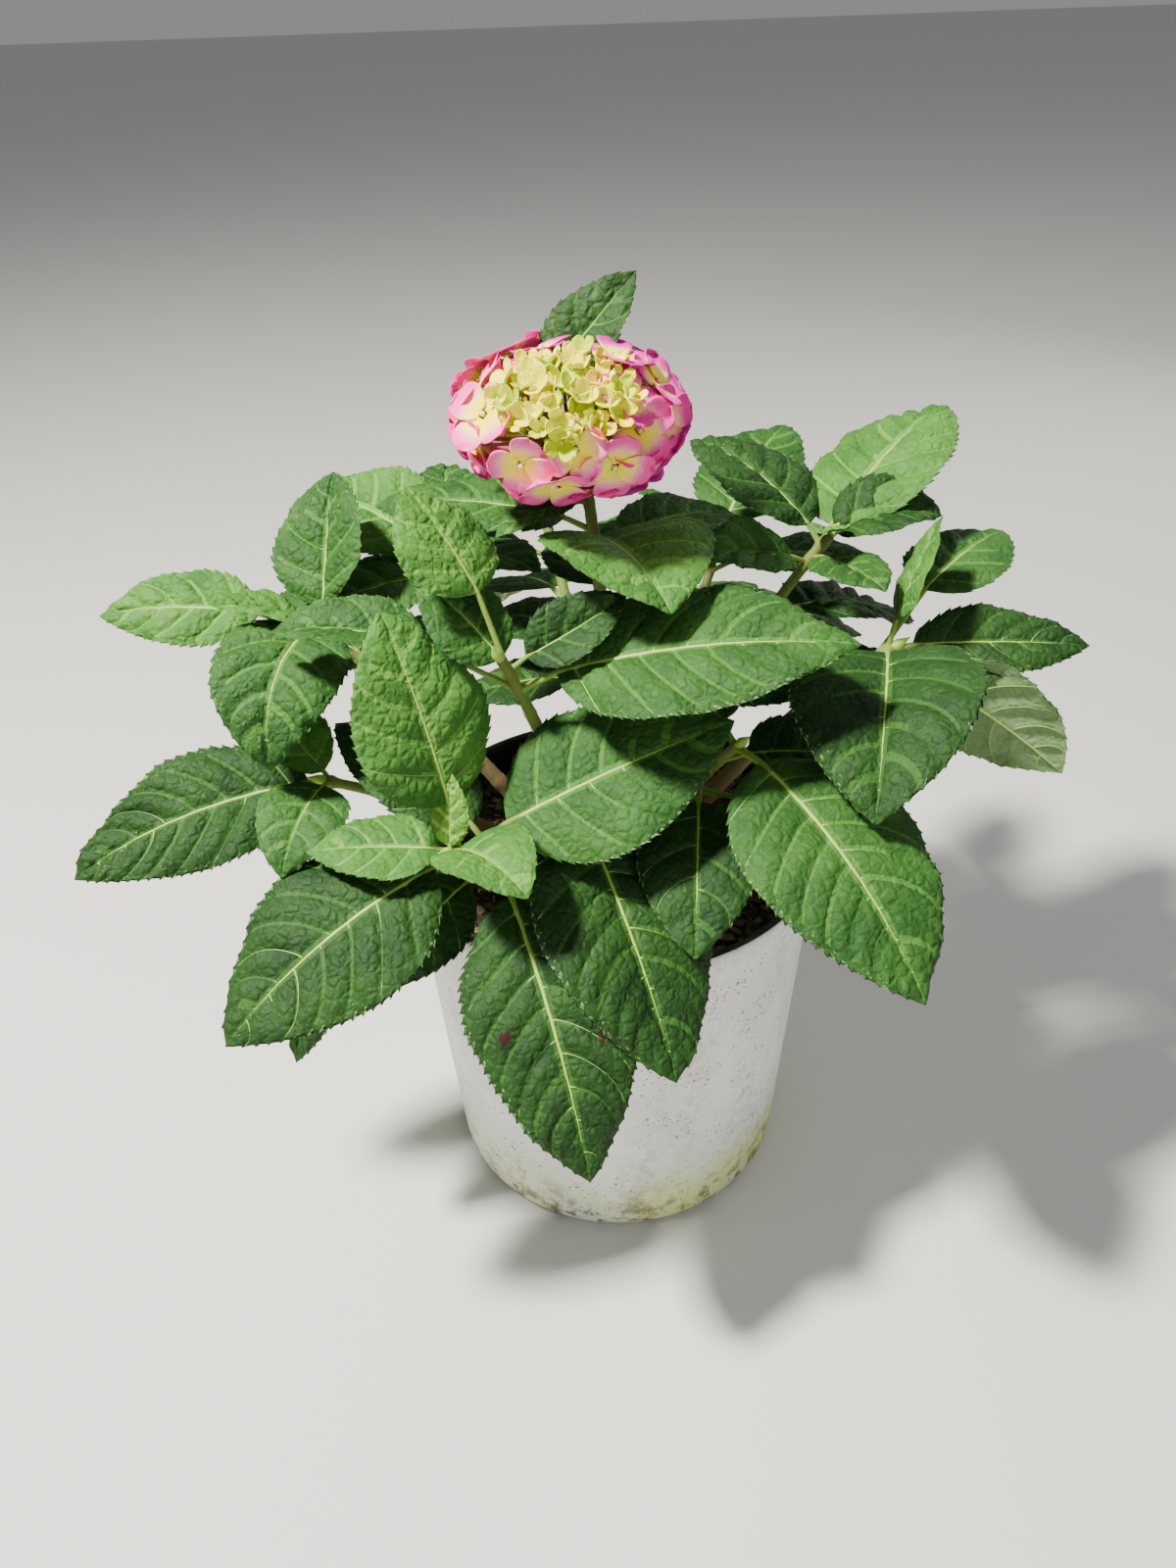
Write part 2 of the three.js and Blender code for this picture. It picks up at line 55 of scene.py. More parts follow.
# Each shoot: foot, tip, the tone of each leaf, how much they are pleated, and the leaves. A tone is
# partly the leaf's own green and partly painted light and shade, deep for a leaf in shade and
# bright for a sunlit one. A leaf is place along the shoot, petiole, heading, rise, droop, length,
# width, roll and fold, and where the petiole goes another way than the blade, its own heading and
# rise.
# Millimetres and degrees; the part's source holds the same table.
SHOOTS = {
    "flower": ((6, 4), (-8, 2, 408), "dbmmmddddd", 1.0, [
        (0.9, 62, 20, 45, 2, 58, 34, -38, 26, 160, 73),
        (0.84, 4, -64, 14, 50, 70, 84, 6, 24),
        (0.86, 14, 168, 12, 25, 92, 50, 8, 14),
        (0.94, 8, 215, 6, 30, 44, 24, 0, 20),
        (0.8, 14, 25, 12, 30, 62, 42, -10, 14),
        (0.62, 20, 100, 16, 30, 62, 44, 0, 14),
        (0.5, 24, -24, 6, 26, 78, 52, -10, 12),
        (0.44, 22, 184, 4, 30, 56, 44, 0, 14),
        (0.7, 22, 40, 4, 26, 78, 54, 0, 14),
        (0.55, 20, 150, 4, 28, 56, 50, 0, 14),
    ]),
    "front": ((-14, -14), (-48, -60, 354), "bmdmmddd", 1.0, [
        (0.93, 36, 138, 54, 22, 56, 56, -6, 6),
        (0.91, 8, 154, 50, 24, 52, 38, 24, 12),
        (0.93, 10, 14, 22, -10, 52, 32, -40, 34),
        (0.83, 20, -8, 18, 22, 132, 74, -20, 12),
        (0.83, 46, 176, 18, 30, 70, 38, 10, 34),
        (0.42, 34, -69, -20, 34, 128, 86, 10, 12),
        (0.56, 22, 4, 6, 26, 64, 48, -16, 12),
        (0.48, 12, -52, 10, 24, 58, 48, 0, 12),
    ]),
    "low_front": ((-22, -24), (-74, -94, 276), "bybbdmsdd", 1.0, [
        (0.95, 24, 128, 74, 22, 90, 66, 0, 10),
        (1.0, 3, 80, 72, 10, 34, 18, 0, 20),
        (0.98, 6, 180, 8, 16, 60, 38, 12, 14),
        (0.98, 5, -50, 30, 60, 52, 46, 0, 26),
        (0.86, 20, 212, -10, 34, 120, 78, 22, 10),
        (0.88, 22, 11, 24, 10, 112, 76, -30, 10),
        (0.72, 26, -70, -26, 42, 134, 74, -14, 10),
        (0.6, 24, 215, -22, 30, 66, 50, 10, 12),
        (0.72, 16, 142, 30, 30, 92, 52, 0, 12),
    ]),
    "left": ((-30, 4), (-142, 8, 336), "bmmbmd", 2.1, [
        (0.97, 32, 176, 10, 24, 80, 42, 34, 12),
        (0.97, 8, 256, 26, 120, 92, 62, 10, 14),
        (0.97, 14, 86, 48, 14, 72, 54, 20, 30),
        (0.95, 10, 205, 40, 30, 50, 38, 0, 24),
        (0.84, 16, 118, 8, 30, 92, 56, 0, 14),
        (0.6, 18, 262, 18, 30, 56, 42, 0, 14),
    ]),
    "low_left": ((-28, -10), (-138, -40, 280), "dmbd", 1.4, [
        (0.98, 10, 196, 1, 34, 120, 60, 32, 14),
        (0.98, 8, 255, 10, 60, 56, 42, 10, 16),
        (0.98, 6, 150, 44, 10, 54, 38, 0, 24),
        (0.7, 24, 228, -38, 35, 124, 52, 10, 14),
    ]),
    "right": ((26, 0), (138, -4, 322), "ddbmmd", 1.3, [
        (0.98, 10, -104, 9, 52, 110, 88, -8, 26),
        (0.98, 12, -4, 4, 10, 84, 40, -30, 16),
        (0.98, 16, 34, 66, 6, 52, 46, 40, 14),
        (0.94, 42, 40, 24, 30, 66, 52, 0, 12),
        (0.94, 24, -18, -26, 14, 86, 64, 74, 12),
        (0.76, 20, 50, -4, 34, 70, 50, 0, 14),
    ]),
    "low_right": ((16, -16), (58, -52, 300), "mmddddd", 1.0, [
        (0.98, 18, -60, -7, 42, 130, 84, -6, 8),
        (0.98, 14, 118, 20, 40, 90, 56, 0, 12),
        (0.84, 14, 4, 2, 24, 60, 46, -20, 12),
        (0.66, 14, 150, 8, 30, 44, 34, 0, 14),
        (0.6, 64, -12, -18, 66, 56, 36, 0, 20),
        (0.66, 16, -96, -12, 34, 80, 56, 0, 12),
        (0.5, 16, -60, 6, 30, 60, 46, 0, 12),
    ]),
    "back_right": ((20, 16), (112, 40, 362), "bddbmmdd", 2.0, [
        (0.96, 12, 46, 32, 28, 106, 74, 10, 12),
        (0.96, 12, 134, 36, 40, 84, 56, 0, 14),
        (0.98, 6, 0, 30, 50, 54, 44, -20, 34),
        (1.0, 4, 250, 30, 20, 34, 22, 0, 24),
        (0.92, 10, -64, 10, 20, 48, 38, 0, 14),
        (0.9, 10, 205, 18, 10, 66, 42, 20, 30),
        (0.7, 20, 34, -8, 34, 100, 62, 0, 14),
        (0.66, 14, 292, 0, 20, 46, 42, 0, 14),
    ]),
    "back_left": ((-16, 22), (-88, 58, 352), "bmmmmm", 2.1, [
        (0.97, 10, 140, 22, 40, 90, 62, 20, 20),
        (0.97, 10, -40, 20, 30, 64, 44, 0, 14),
        (0.9, 12, 206, 6, 30, 70, 52, 10, 14),
        (0.9, 12, 94, 30, 40, 88, 56, 0, 14),
        (0.64, 20, 150, -10, 34, 104, 64, 0, 14),
        (0.5, 22, 172, -14, 34, 84, 56, 0, 14),
    ]),
    "rear_left": ((0, 30), (-30, 108, 346), "mmmmmd", 1.0, [
        (0.97, 12, 100, 36, 34, 96, 62, 0, 14),
        (0.97, 12, -50, 50, 30, 66, 44, 0, 14),
        (0.86, 16, 8, 18, 34, 52, 40, 0, 14),
        (0.86, 16, 186, 14, 36, 90, 58, 0, 14),
        (0.7, 22, 112, -10, 40, 112, 70, 0, 14),
        (0.5, 20, 58, -6, 36, 84, 60, 0, 14),
    ]),
    "rear_right": ((24, 30), (66, 104, 336), "mmmmmd", 1.0, [
        (0.97, 12, 60, 34, 34, 92, 60, 0, 14),
        (0.97, 12, 200, 46, 30, 50, 38, 0, 14),
        (0.86, 16, -20, 20, 34, 78, 50, 0, 14),
        (0.7, 22, 84, -12, 40, 112, 72, 0, 14),
        (0.66, 22, 18, -4, 36, 92, 58, 0, 14),
        (0.48, 20, 128, -10, 36, 84, 58, 0, 14),
    ]),
}


# ---- geometry helpers


@dataclass
class Patch:
    """A surface as arrays: corners in millimetres, faces, and the finish number of each face.

    A face is four corner numbers, the last of them -1 in a face of three corners.
    """

    points: np.ndarray
    faces: np.ndarray
    finish: np.ndarray


def joined(patches: Sequence[Patch]) -> Patch:
    """Puts patches into one, each with its corner numbers moved up.

    Args:
        patches: the patches, in order.

    Returns:
        One patch that holds them all.
    """
    starts = np.cumsum([0] + [len(p.points) for p in patches[:-1]])
    faces = [np.where(p.faces < 0, -1, p.faces + s) for p, s in zip(patches, starts)]
    points, finish = ([getattr(p, part) for p in patches] for part in ("points", "finish"))
    return Patch(np.concatenate(points), np.concatenate(faces), np.concatenate(finish))


def lattice(ids: np.ndarray) -> np.ndarray:
    """The four-cornered faces between rows and columns of corner numbers, from column to row."""
    return np.stack([ids[:-1, :-1], ids[:-1, 1:], ids[1:, 1:], ids[1:, :-1]], -1).reshape(-1, 4)


def rings(
    grid: np.ndarray, poles: Sequence[Sequence[float]], finish: int | np.ndarray = 0
) -> Patch:
    """A closed surface: faces between rings of corners, and a fan to a pole at each end.

    Args:
        grid: corners by ring and place round it; the next corner crossed with the next ring
            points outward.
        poles: the middle corners of the first and the last ring.
        finish: finish number of all faces, or one for each band between two rings.

    Returns:
        The patch.
    """
    count, around = grid.shape[:2]
    ids = np.arange(count * around).reshape(count, around)
    turn = np.roll(ids, -1, axis=1)
    none = np.full(around, -1)
    first, last = np.full(around, ids.size), np.full(around, ids.size + 1)
    low = np.stack([first, turn[0], ids[0], none], -1)
    high = np.stack([last, ids[-1], turn[-1], none], -1)
    bands = lattice(np.concatenate([ids, ids[:, :1]], axis=1))
    numbers = np.broadcast_to(finish, count - 1)
    numbers = np.repeat(np.concatenate([numbers[:1], numbers, numbers[-1:]]), around)
    points = np.concatenate([grid.reshape(-1, 3), poles])
    return Patch(points, np.concatenate([low, bands, high]), numbers)


def unit(v: np.ndarray) -> np.ndarray:
    """Vectors of length one along the last axis."""
    return v / np.maximum(np.linalg.norm(v, axis=-1, keepdims=True), 1e-12)


def heading(turn: float, rise: float | np.ndarray) -> np.ndarray:
    """The unit vector at a turn from +X towards +Y and a rise above the level, in degrees."""
    h, p = np.radians(turn), np.radians(rise)
    return np.stack([np.cos(h) * np.cos(p), np.sin(h) * np.cos(p), np.sin(p)], -1)


def swung(angle: float, start: np.ndarray, towards: np.ndarray) -> np.ndarray:
    """The direction at an angle from one direction towards another at right angles to it."""
    return math.cos(angle) * start + math.sin(angle) * towards


def angles(sides: int) -> np.ndarray:
    """Even angles round a circle."""
    return np.arange(sides) * ROUND / sides


def wheel(radius: np.ndarray, height: np.ndarray | float, angle: np.ndarray) -> np.ndarray:
    """Points round +Z, at x = radius * cos(angle) and y = radius * sin(angle)."""
    x, y = radius * np.cos(angle), radius * np.sin(angle)
    return np.stack([x, y, height + 0 * x], -1)


def smooth(low: float, high: float, x: np.ndarray) -> np.ndarray:
    """A soft step from 0 at low to 1 at high."""
    t = np.clip((x - low) / (high - low), 0.0, 1.0)
    return t * t * (3.0 - 2.0 * t)


def tube(
    path: np.ndarray,
    radius: np.ndarray,
    sides: int,
    finish: int = 0,
    flat: float = 1.0,
    relief: Callable[[np.ndarray, np.ndarray], np.ndarray] | None = None,
) -> Patch:
    """A closed limb: a circle of changing radius carried along a path.

    Point = path + radius * (cos a * side + flat * sin a * across), with side and across at
    right angles to the path's own direction.

    Args:
        path: the middle line, in millimetres.
        radius: its radius at each place.
        sides: corners round it.
        finish: finish number of its faces.
        flat: height of the section over its width.
        relief: what to add to the radius, from the place number and the angle. A limb that has
            it is a cane, and its first end is cut level.

    Returns:
        The closed patch.
    """
    along = unit(np.gradient(path, axis=0))
    if relief:
        along[0] = (0.0, 0.0, 1.0)
    steep = abs(unit(along.mean(axis=0))[2]) >= 0.75
    side = unit(np.cross([0.0, 1.0, 0.0] if steep or relief else [0.0, 0.0, 1.0], along))
    across = np.cross(along, side)
    place, angle = np.meshgrid(np.arange(len(path)), angles(sides), indexing="ij")
    r = radius[:, None] + (relief(place, angle) if relief else 0.0)
    x, y = (r * np.cos(angle))[..., None], (flat * r * np.sin(angle))[..., None]
    grid = path[:, None] + x * side[:, None] + y * across[:, None]
    return rings(grid, [path[0], path[-1]], finish)


def bead(centre: np.ndarray, size: np.ndarray, finish: int, rows: int = 4, sides: int = 6) -> Patch:
    """A small closed ball: circles between two poles.

    Args:
        centre: its middle, in millimetres.
        size: its three half sizes.
        finish: finish number.
        rows: bands from pole to pole.
        sides: corners round it.

    Returns:
        The closed patch.
    """
    polar = np.linspace(0, math.pi, rows + 1)[1:-1, None]
    ball = wheel(np.sin(polar), -np.cos(polar), angles(sides))
    return rings(ball * size + centre, np.array([[0, 0, -1], [0, 0, 1]]) * size + centre, finish)


def ripple(x: np.ndarray, y: np.ndarray, seed: float) -> np.ndarray:
    """Smooth uneven relief between about -1 and 1: a sum of crossed sine waves of rising pitch.

    Args:
        x: first coordinate, one unit to a lump.
        y: second coordinate.
        seed: which relief.

    Returns:
        The relief at each place.
    """
    total = np.zeros(np.broadcast(x, y).shape)
    for k in range(5):
        a = seed * 1.7 + k * 2.1
        f, fade = 1.0 + 0.83 * k, 1 + 0.7 * k
        total += np.sin(f * (x * math.cos(a) + y * math.sin(a)) * 2.2 + 5.3 * a) / fade
        total += np.sin(f * (y * math.cos(a) - x * math.sin(a)) * 1.9 + 3.1 * a) / fade
    return total / 4.0


def placed(name: str, data: bpy.types.ID) -> bpy.types.Object:
    """Makes an object of a mesh, light or camera and puts it in the scene.

    Args:
        name: its name.
        data: what it shows.

    Returns:
        The new object.
    """
    made = bpy.data.objects.new(name, data)
    bpy.context.scene.collection.objects.link(made)
    return made


def shown(
    name: str,
    patch: Patch,
    finishes: Sequence[bpy.types.Material],
    nodes: Sequence[str],
    flat_faces: bool = False,
) -> bpy.types.Object:
    """Makes a piece of a patch, in its finishes, riding on the root body.

    Args:
        name: the piece's name.
        patch: its surface, in millimetres.
        finishes: its finishes, by finish number.
        nodes: the nodes that it stands for.
        flat_faces: True if its faces are shaded flat.

    Returns:
        The new object.
    """
    corners = patch.faces[patch.faces >= 0].astype(np.int32)
    sizes = (patch.faces >= 0).sum(axis=1)
    mesh = bpy.data.meshes.new(name)
    mesh.vertices.add(len(patch.points))
    mesh.vertices.foreach_set("co", (patch.points * MM).astype(np.float32).ravel())
    mesh.loops.add(len(corners))
    mesh.loops.foreach_set("vertex_index", corners)
    mesh.polygons.add(len(sizes))
    begins = np.concatenate([[0], np.cumsum(sizes)[:-1]]).astype(np.int32)
    mesh.polygons.foreach_set("loop_start", begins)
    for finish in finishes:
        mesh.materials.append(finish)
    mesh.update(calc_edges=True)
    mesh.polygons.foreach_set("material_index", patch.finish.astype(np.int32))
    mesh.polygons.foreach_set("use_smooth", np.full(len(sizes), not flat_faces))
    mesh.update()
    piece = placed(name, mesh)
    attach(piece, "root")
    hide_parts(*nodes)
    log.info("%s: %d faces", name, len(sizes))
    return piece


# ---- finishes


class Value:
    """A node's output socket that takes part in sums; each sum adds a Math node."""

    def __init__(self, paint: "Paint", socket: bpy.types.NodeSocket) -> None:
        """Keeps the socket and the material that it belongs to."""
        self.paint = paint
        self.socket = socket

    def __add__(self, other: "Value | float") -> "Value":
        """Sum."""
        return self.paint.math("ADD", self, other)

    def __sub__(self, other: "Value | float") -> "Value":
        """Difference."""
        return self.paint.math("SUBTRACT", self, other)

    def __mul__(self, other: "Value | float") -> "Value":
        """Product."""
        return self.paint.math("MULTIPLY", self, other)

    __radd__ = __add__
    __rmul__ = __mul__

    def clamp(self) -> "Value":
        """Held between 0 and 1."""
        return self.paint.math("MINIMUM", self.paint.math("MAXIMUM", self, 0.0), 1.0)

    def step(self, low: float, high: float) -> "Value":
        """A soft step from 0 at low to 1 at high, or falling if high is the lower.

        Args:
            low: the value that gives 0.
            high: the value that gives 1.

        Returns:
            The Map Range node's output.
        """
        made = self.paint.node(
            "ShaderNodeMapRange", {"interpolation_type": "SMOOTHSTEP"},
            Value=self, From_Min=low, From_Max=high, To_Min=0.0, To_Max=1.0,
        )
        return Value(self.paint, made.outputs[0])


class Paint:
    """One material being mixed: a Principled surface and the nodes that feed it."""

    def __init__(self, name: str) -> None:
        """Starts an empty material.

        Args:
            name: the material's name.
        """
        self.material = bpy.data.materials.new(name)
        self.material.use_nodes = True
        self.tree = self.material.node_tree
        self.tree.nodes.clear()
        out = self.tree.nodes.new("ShaderNodeOutputMaterial")
        self.surface = self.tree.nodes.new("ShaderNodeBsdfPrincipled")
        self.tree.links.new(self.surface.outputs[0], out.inputs["Surface"])
        self.place = self.node("ShaderNodeTexCoord").outputs["Object"]

    def node(self, kind: str, settings: dict | None = None, **inputs: object) -> bpy.types.Node:
        """Adds a node.

        Args:
            kind: its type.
            settings: properties, set first.
            inputs: values or sockets by input name, with _ for a space, or i and a number.

        Returns:
            The node.
        """
        made = self.tree.nodes.new(kind)
        for key, value in (settings or {}).items():
            setattr(made, key, value)
        for key, value in inputs.items():
            numbered = key[0] == "i" and key[1:].isdigit()
            self.feed(made.inputs[int(key[1:]) if numbered else key.replace("_", " ")], value)
        return made

    def feed(self, socket: bpy.types.NodeSocket, value: object) -> None:
        """Links a socket to what feeds it, or sets it.

        Args:
            socket: the input.
            value: a Value, a socket or a plain value.
        """
        value = value.socket if isinstance(value, Value) else value
        if isinstance(value, bpy.types.NodeSocket):
            self.tree.links.new(value, socket)
        else:
            socket.default_value = value

    def math(self, operation: str, a: Value | float, b: Value | float) -> Value:
        """A Math node of two values."""
        made = self.node("ShaderNodeMath", {"operation": operation}, i0=a, i1=b)
        return Value(self, made.outputs[0])

    def noise(
        self, scale: float, detail: float = 2.0, rough: float = 0.5, squeeze: Place = (1, 1, 1)
    ) -> Value:
        """A cloudy pattern on the object's own coordinates.

        Args:
            scale: patches to a metre, about.
            detail: how many finer layers it has.
            rough: how strong these are.
            squeeze: more than 1 makes the patches shorter that way.

        Returns:
            The pattern, from 0 to 1.
        """
        at = self.node("ShaderNodeMapping", Vector=self.place, Scale=squeeze).outputs[0]
        made = self.node(
            "ShaderNodeTexNoise", Vector=at, Scale=scale, Detail=detail, Roughness=rough
        )
        return Value(self, made.outputs[0])

    def cells(self, scale: float, feature: str = "F1") -> Value:
        """A pattern of cells.

        Args:
            scale: cells to a metre, about.
            feature: distance to what.

        Returns:
            That distance.
        """
        kind = {"feature": feature}
        made = self.node("ShaderNodeTexVoronoi", kind, Vector=self.place, Scale=scale)
        return Value(self, made.outputs["Distance"])

    def height(self) -> Value:
        """How high a point is, in metres."""
        return Value(self, self.node("ShaderNodeSeparateXYZ", i0=self.place).outputs[2])

    def mix(self, amount: Value | float, a: object, b: object) -> bpy.types.NodeSocket:
        """The colour between a and b."""
        kind = {"data_type": "RGBA"}
        return self.node("ShaderNodeMix", kind, i0=amount, i6=tint(a), i7=tint(b)).outputs[2]

    def bump(self, relief: Value, depth: float, strength: float = 1.0) -> None:
        """Feeds the surface's normal from a relief of the given depth in metres."""
        made = self.node("ShaderNodeBump", Strength=strength, Distance=depth, Height=relief)
        self.feed(self.surface.inputs["Normal"], made.outputs[0])

    def finish(self, **inputs: object) -> bpy.types.Material:
        """Sets the surface's inputs.

        Args:
            inputs: colours, values or sockets by input name, with _ for a space.

        Returns:
            The material.
        """
        for key, value in inputs.items():
            self.feed(self.surface.inputs[key.replace("_", " ")], tint(value))
        return self.material


def tint(value: object) -> object:
    """A colour given as red, green and blue from 0 to 255, as linear colour; others unchanged.

    Args:
        value: a colour, or anything else that feeds a socket.

    Returns:
        Four linear channels, or the value itself.
    """
    if not isinstance(value, tuple) or len(value) != 3:
        return value
    linear = [c / 255 / 12.92 if c <= 10 else ((c / 255 + 0.055) / 1.055) ** 2.4 for c in value]
    return (*linear, 1.0)


@dataclass(frozen=True)
class BladeFinish:
    """A leaf's upper face: mottled green, finely netted between its veins, with a soft shine."""

    name: str
    pale: Color
    deep: Color
    rough: float = 0.56
    net_depth: float = 0.0008

    def made(self) -> bpy.types.Material:
        """Mixes the material: the net darkens the colour a little in its creases as painted shade,
        and stands out as bump.

        Returns:
            The material.
        """
        p = Paint(self.name)
        cloud = p.noise(38, 3, 0.6)
        fine = p.noise(420, 2, 0.6)
        net = p.cells(200, "DISTANCE_TO_EDGE").step(0.0, 0.32)
        # The net lightens the middles of its cells, so their edges stay deeper green: painted shade
        # in the creases between the cells.
        amount = (cloud * 1.5 + fine * 0.55 - net * 0.12 - 0.4).clamp()
        color = p.mix(amount, self.pale, self.deep)
        fine_net = p.cells(420, "DISTANCE_TO_EDGE").step(0.0, 0.4)
        grain = p.noise(1500, 2, 0.6)
        p.bump(net * 0.75 + fine_net * 0.2 + grain * 0.1, self.net_depth, 0.8)
        rough = self.rough + 0.16 * cloud
        return p.finish(Base_Color=color, Roughness=rough, Specular_IOR_Level=0.2)


@dataclass(frozen=True)
class SpeckledFinish:
    """A stem's skin: one colour drifting to another, with small dark specks."""

    name: str
    main: Color
    second: Color
    speck: Color
    specks: float = 0.6
    rough: float = 0.6

    def made(self) -> bpy.types.Material:
        """Mixes the material: specks are the middles of small cells, in patches.

        Returns:
            The material.
        """
        p = Paint(self.name)
        drift = p.noise(30, 2, 0.5, squeeze=(1, 1, 0.5)).step(0.35, 0.7)
        dots = p.cells(520).step(0.26, 0.12) * p.noise(130, 2).step(0.5, 0.6) * self.specks
        color = p.mix(dots, p.mix(drift, self.main, self.second), self.speck)
        p.bump(p.noise(900, 3, 0.6, squeeze=(1, 1, 0.3)) - dots * 0.4, 0.0005, 0.6)
        return p.finish(Base_Color=color, Roughness=self.rough, Specular_IOR_Level=0.35)


@dataclass(frozen=True)
class PlainFinish:
    """One colour all over, with a fine uneven skin."""

    name: str
    color: Color
    rough: float = 0.55
    grain: float = 900.0
    depth: float = 0.0002
    shine: float = 0.4

    def made(self) -> bpy.types.Material:
        """Mixes the material.

        Returns:
            The material.
        """
        p = Paint(self.name)
        p.bump(p.noise(self.grain, 2, 0.6), self.depth, 0.6)
        return p.finish(Base_Color=self.color, Roughness=self.rough, Specular_IOR_Level=self.shine)


def mixed(*kinds: BladeFinish | SpeckledFinish | PlainFinish) -> list[bpy.types.Material]:
    """The materials of finishes, in their order."""
    return [kind.made() for kind in kinds]


class LeafToneAndShade(Enum):
    """How bright a leaf's upper face is, as its finish number: partly its own green and partly
    painted light and shade, deep for a leaf in shade and bright for a sunlit one; young is a young
    leaf's own paler green.
    """

    DEEP = 0
    MID = 1
    BRIGHT = 2
    YOUNG = 3


# The letters in the table of shoots; a spotted leaf is a deep one with two blotches.
SPOTTED = "s"
TONES_AND_SHADES = {
    "d": LeafToneAndShade.DEEP,
    SPOTTED: LeafToneAndShade.DEEP,
    "m": LeafToneAndShade.MID,
    "b": LeafToneAndShade.BRIGHT,
    "y": LeafToneAndShade.YOUNG,
}


class VeinPart(Enum):
    """Finish numbers of a leaf's veins."""

    MIDRIB = 0
    SIDE = 1


class LeafFinishes:
    """The finishes of all blades and of all veins, in the order of their finish numbers.

    The first four of the blades are their tones, partly each leaf's own green and partly painted
    light and shade, and the next four the paler strips beside veins.
    """

    BESIDE_VEIN = 4
    UNDER = 8
    BLOTCH = 9

    def __init__(self) -> None:
        """Mixes each finish once: a tone has a pale, a deep and a strip colour."""
        # Deep, mid and bright are partly the leaves' own greens and partly painted light and shade:
        # shaded leaves get the deep one, sunlit leaves the bright one. Young is a young leaf's own
        # paler green.
        tones_and_shades = (
            ("deep", (44, 82, 26), (15, 42, 12), (54, 94, 34)),
            ("mid", (62, 106, 38), (24, 62, 20), (74, 120, 48)),
            ("bright", (88, 138, 52), (42, 90, 30), (100, 148, 62)),
            ("young", (126, 168, 62), (72, 120, 38), (142, 180, 76)),
        )
        kinds = [BladeFinish(f"leaf_{name}", pale, deep) for name, pale, deep, _ in tones_and_shades]
        kinds += [
            BladeFinish(f"leaf_{name}_beside_vein", strip, pale) for name, pale, _, strip in tones_and_shades
        ]
        kinds += [
            BladeFinish("leaf_underside", (118, 146, 96), (86, 118, 70), 0.6, 0.00056),
            PlainFinish("leaf_blotch", (52, 26, 22), 0.7, shine=0.15),
        ]
        self.blades = mixed(*kinds)
        self.veins = mixed(
            PlainFinish("leaf_midrib", (160, 190, 82), 0.5),
            PlainFinish("leaf_side_vein", (138, 174, 76), 0.5),
        )


# ---- leaves


